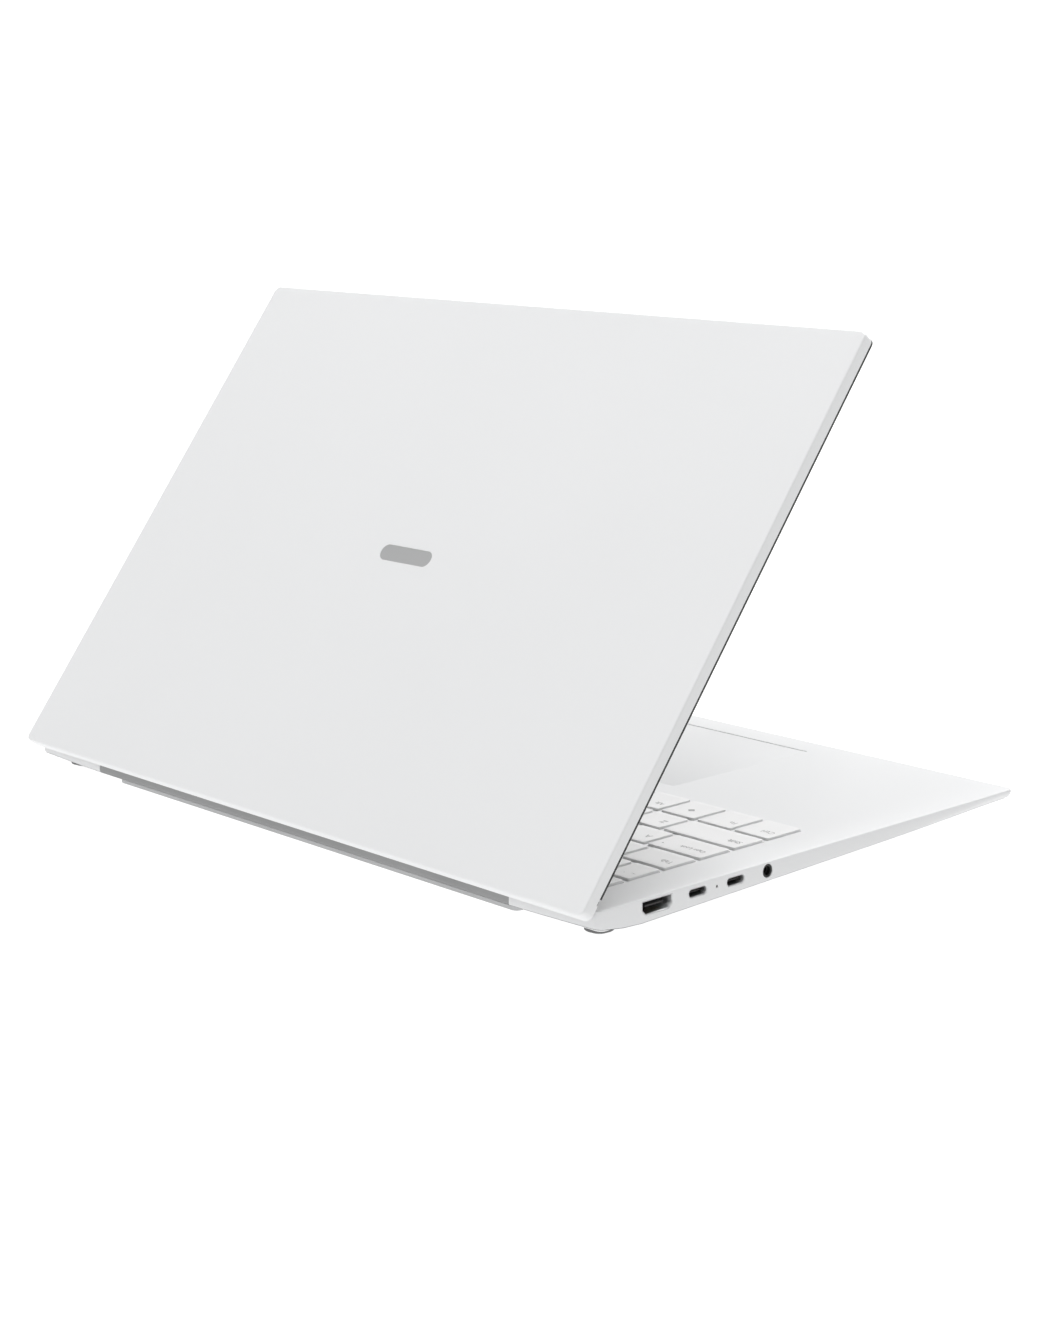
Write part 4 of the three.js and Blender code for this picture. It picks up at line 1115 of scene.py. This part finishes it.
def build_stage():
    """A pale floor that glows softly, brightest far from the laptop."""
    bpy.ops.mesh.primitive_plane_add(size=12, location=(0, 0, -0.0002))
    floor = bpy.context.object
    floor.name = "floor"
    material, tree, shader = new_material("floor_white")
    shader.inputs["Base Color"].default_value = (FLOOR_TONE, FLOOR_TONE, FLOOR_TONE, 1)
    shader.inputs["Roughness"].default_value = 0.7
    shader.inputs["Emission Color"].default_value = (1, 1, 1, 1)
    where = add(tree, "ShaderNodeTexCoord")
    distance = add(tree, "ShaderNodeVectorMath", operation="LENGTH")
    tree.links.new(where.outputs["Object"], distance.inputs[0])
    glow = map_range(tree, distance.outputs["Value"], GLOW_START, GLOW_END, GLOW_NEAR, GLOW_FAR)
    tree.links.new(glow, shader.inputs["Emission Strength"])
    floor.data.materials.append(material)


def area_light(name, position, target, size, power):
    """A rectangular soft light that faces a target."""
    data = bpy.data.lights.new(name, "AREA")
    data.shape = "RECTANGLE"
    data.size, data.size_y = size
    data.energy = power
    light = bpy.data.objects.new(name, data)
    light.location = position
    light.rotation_euler = (Vector(target) - Vector(position)).to_track_quat("-Z", "Y").to_euler()
    bpy.context.scene.collection.objects.link(light)


def build_lights():
    """A white sky that is brighter near the horizon, and a large soft light behind and in front."""
    world = bpy.data.worlds.new("studio")
    bpy.context.scene.world = world
    world.use_nodes = True
    tree = world.node_tree
    background = tree.nodes["Background"]
    background.inputs["Color"].default_value = (1, 1, 1, 1)
    direction = add(tree, "ShaderNodeTexCoord")
    parts = add(tree, "ShaderNodeSeparateXYZ")
    tree.links.new(direction.outputs["Generated"], parts.inputs["Vector"])
    fade = map_range(tree, parts.outputs["Z"], SKY_START, SKY_END, SKY_LOW, SKY_HIGH)
    tree.links.new(fade, background.inputs["Strength"])
    area_light("rear_softbox", (0.35, 1.6, 2.0), (0, 0, 0.1), (1.6, 1.6), 26)
    area_light("front_softbox", (0.45, -1.8, 2.7), (0, 0, 0.02), (2.0, 2.0), 108)
    bpy.context.scene.view_settings.view_transform = "Standard"


CAMERA_AZIMUTH = 227.34
CAMERA_ELEVATION = 12.33
CAMERA_ROLL = -0.35
CAMERA_DISTANCE = 1078.6
CAMERA_AIM = (-13.5, 0.0, 43.9)
CAMERA_LENS = 69.25


def build_camera_view():
    """The view from behind the left corner, a little above the deck."""
    azimuth, elevation = math.radians(CAMERA_AZIMUTH), math.radians(CAMERA_ELEVATION)
    flat = math.cos(elevation)
    back = Vector((math.sin(azimuth) * flat, -math.cos(azimuth) * flat, math.sin(elevation)))
    data = bpy.data.cameras.new("view")
    data.sensor_width = 36
    data.lens = CAMERA_LENS
    data.clip_start, data.clip_end = 0.05, 30
    camera_object = bpy.data.objects.new("view", data)
    bpy.context.scene.collection.objects.link(camera_object)
    facing = (-back).to_track_quat("-Z", "Y").to_matrix().to_4x4()
    roll = Matrix.Rotation(math.radians(CAMERA_ROLL), 4, "Z")
    place = Matrix.Translation(TO_ROW @ Vector(CAMERA_AIM) + back * CAMERA_DISTANCE * MM)
    camera_object.matrix_world = place @ facing @ roll
    bpy.context.scene.camera = camera_object


build_camera_view()
build_stage()
build_lights()
build_keys()
build_top_case()
build_touchpad()
build_bottom_cover()
build_feet()
build_screws()
build_vent()
build_ports()
build_jack()
build_light()
build_lid_cover()
build_emblem()
build_gasket()
build_bezel()
build_screen()
build_camera()
build_hinge_strip()
paint_kept_parts()
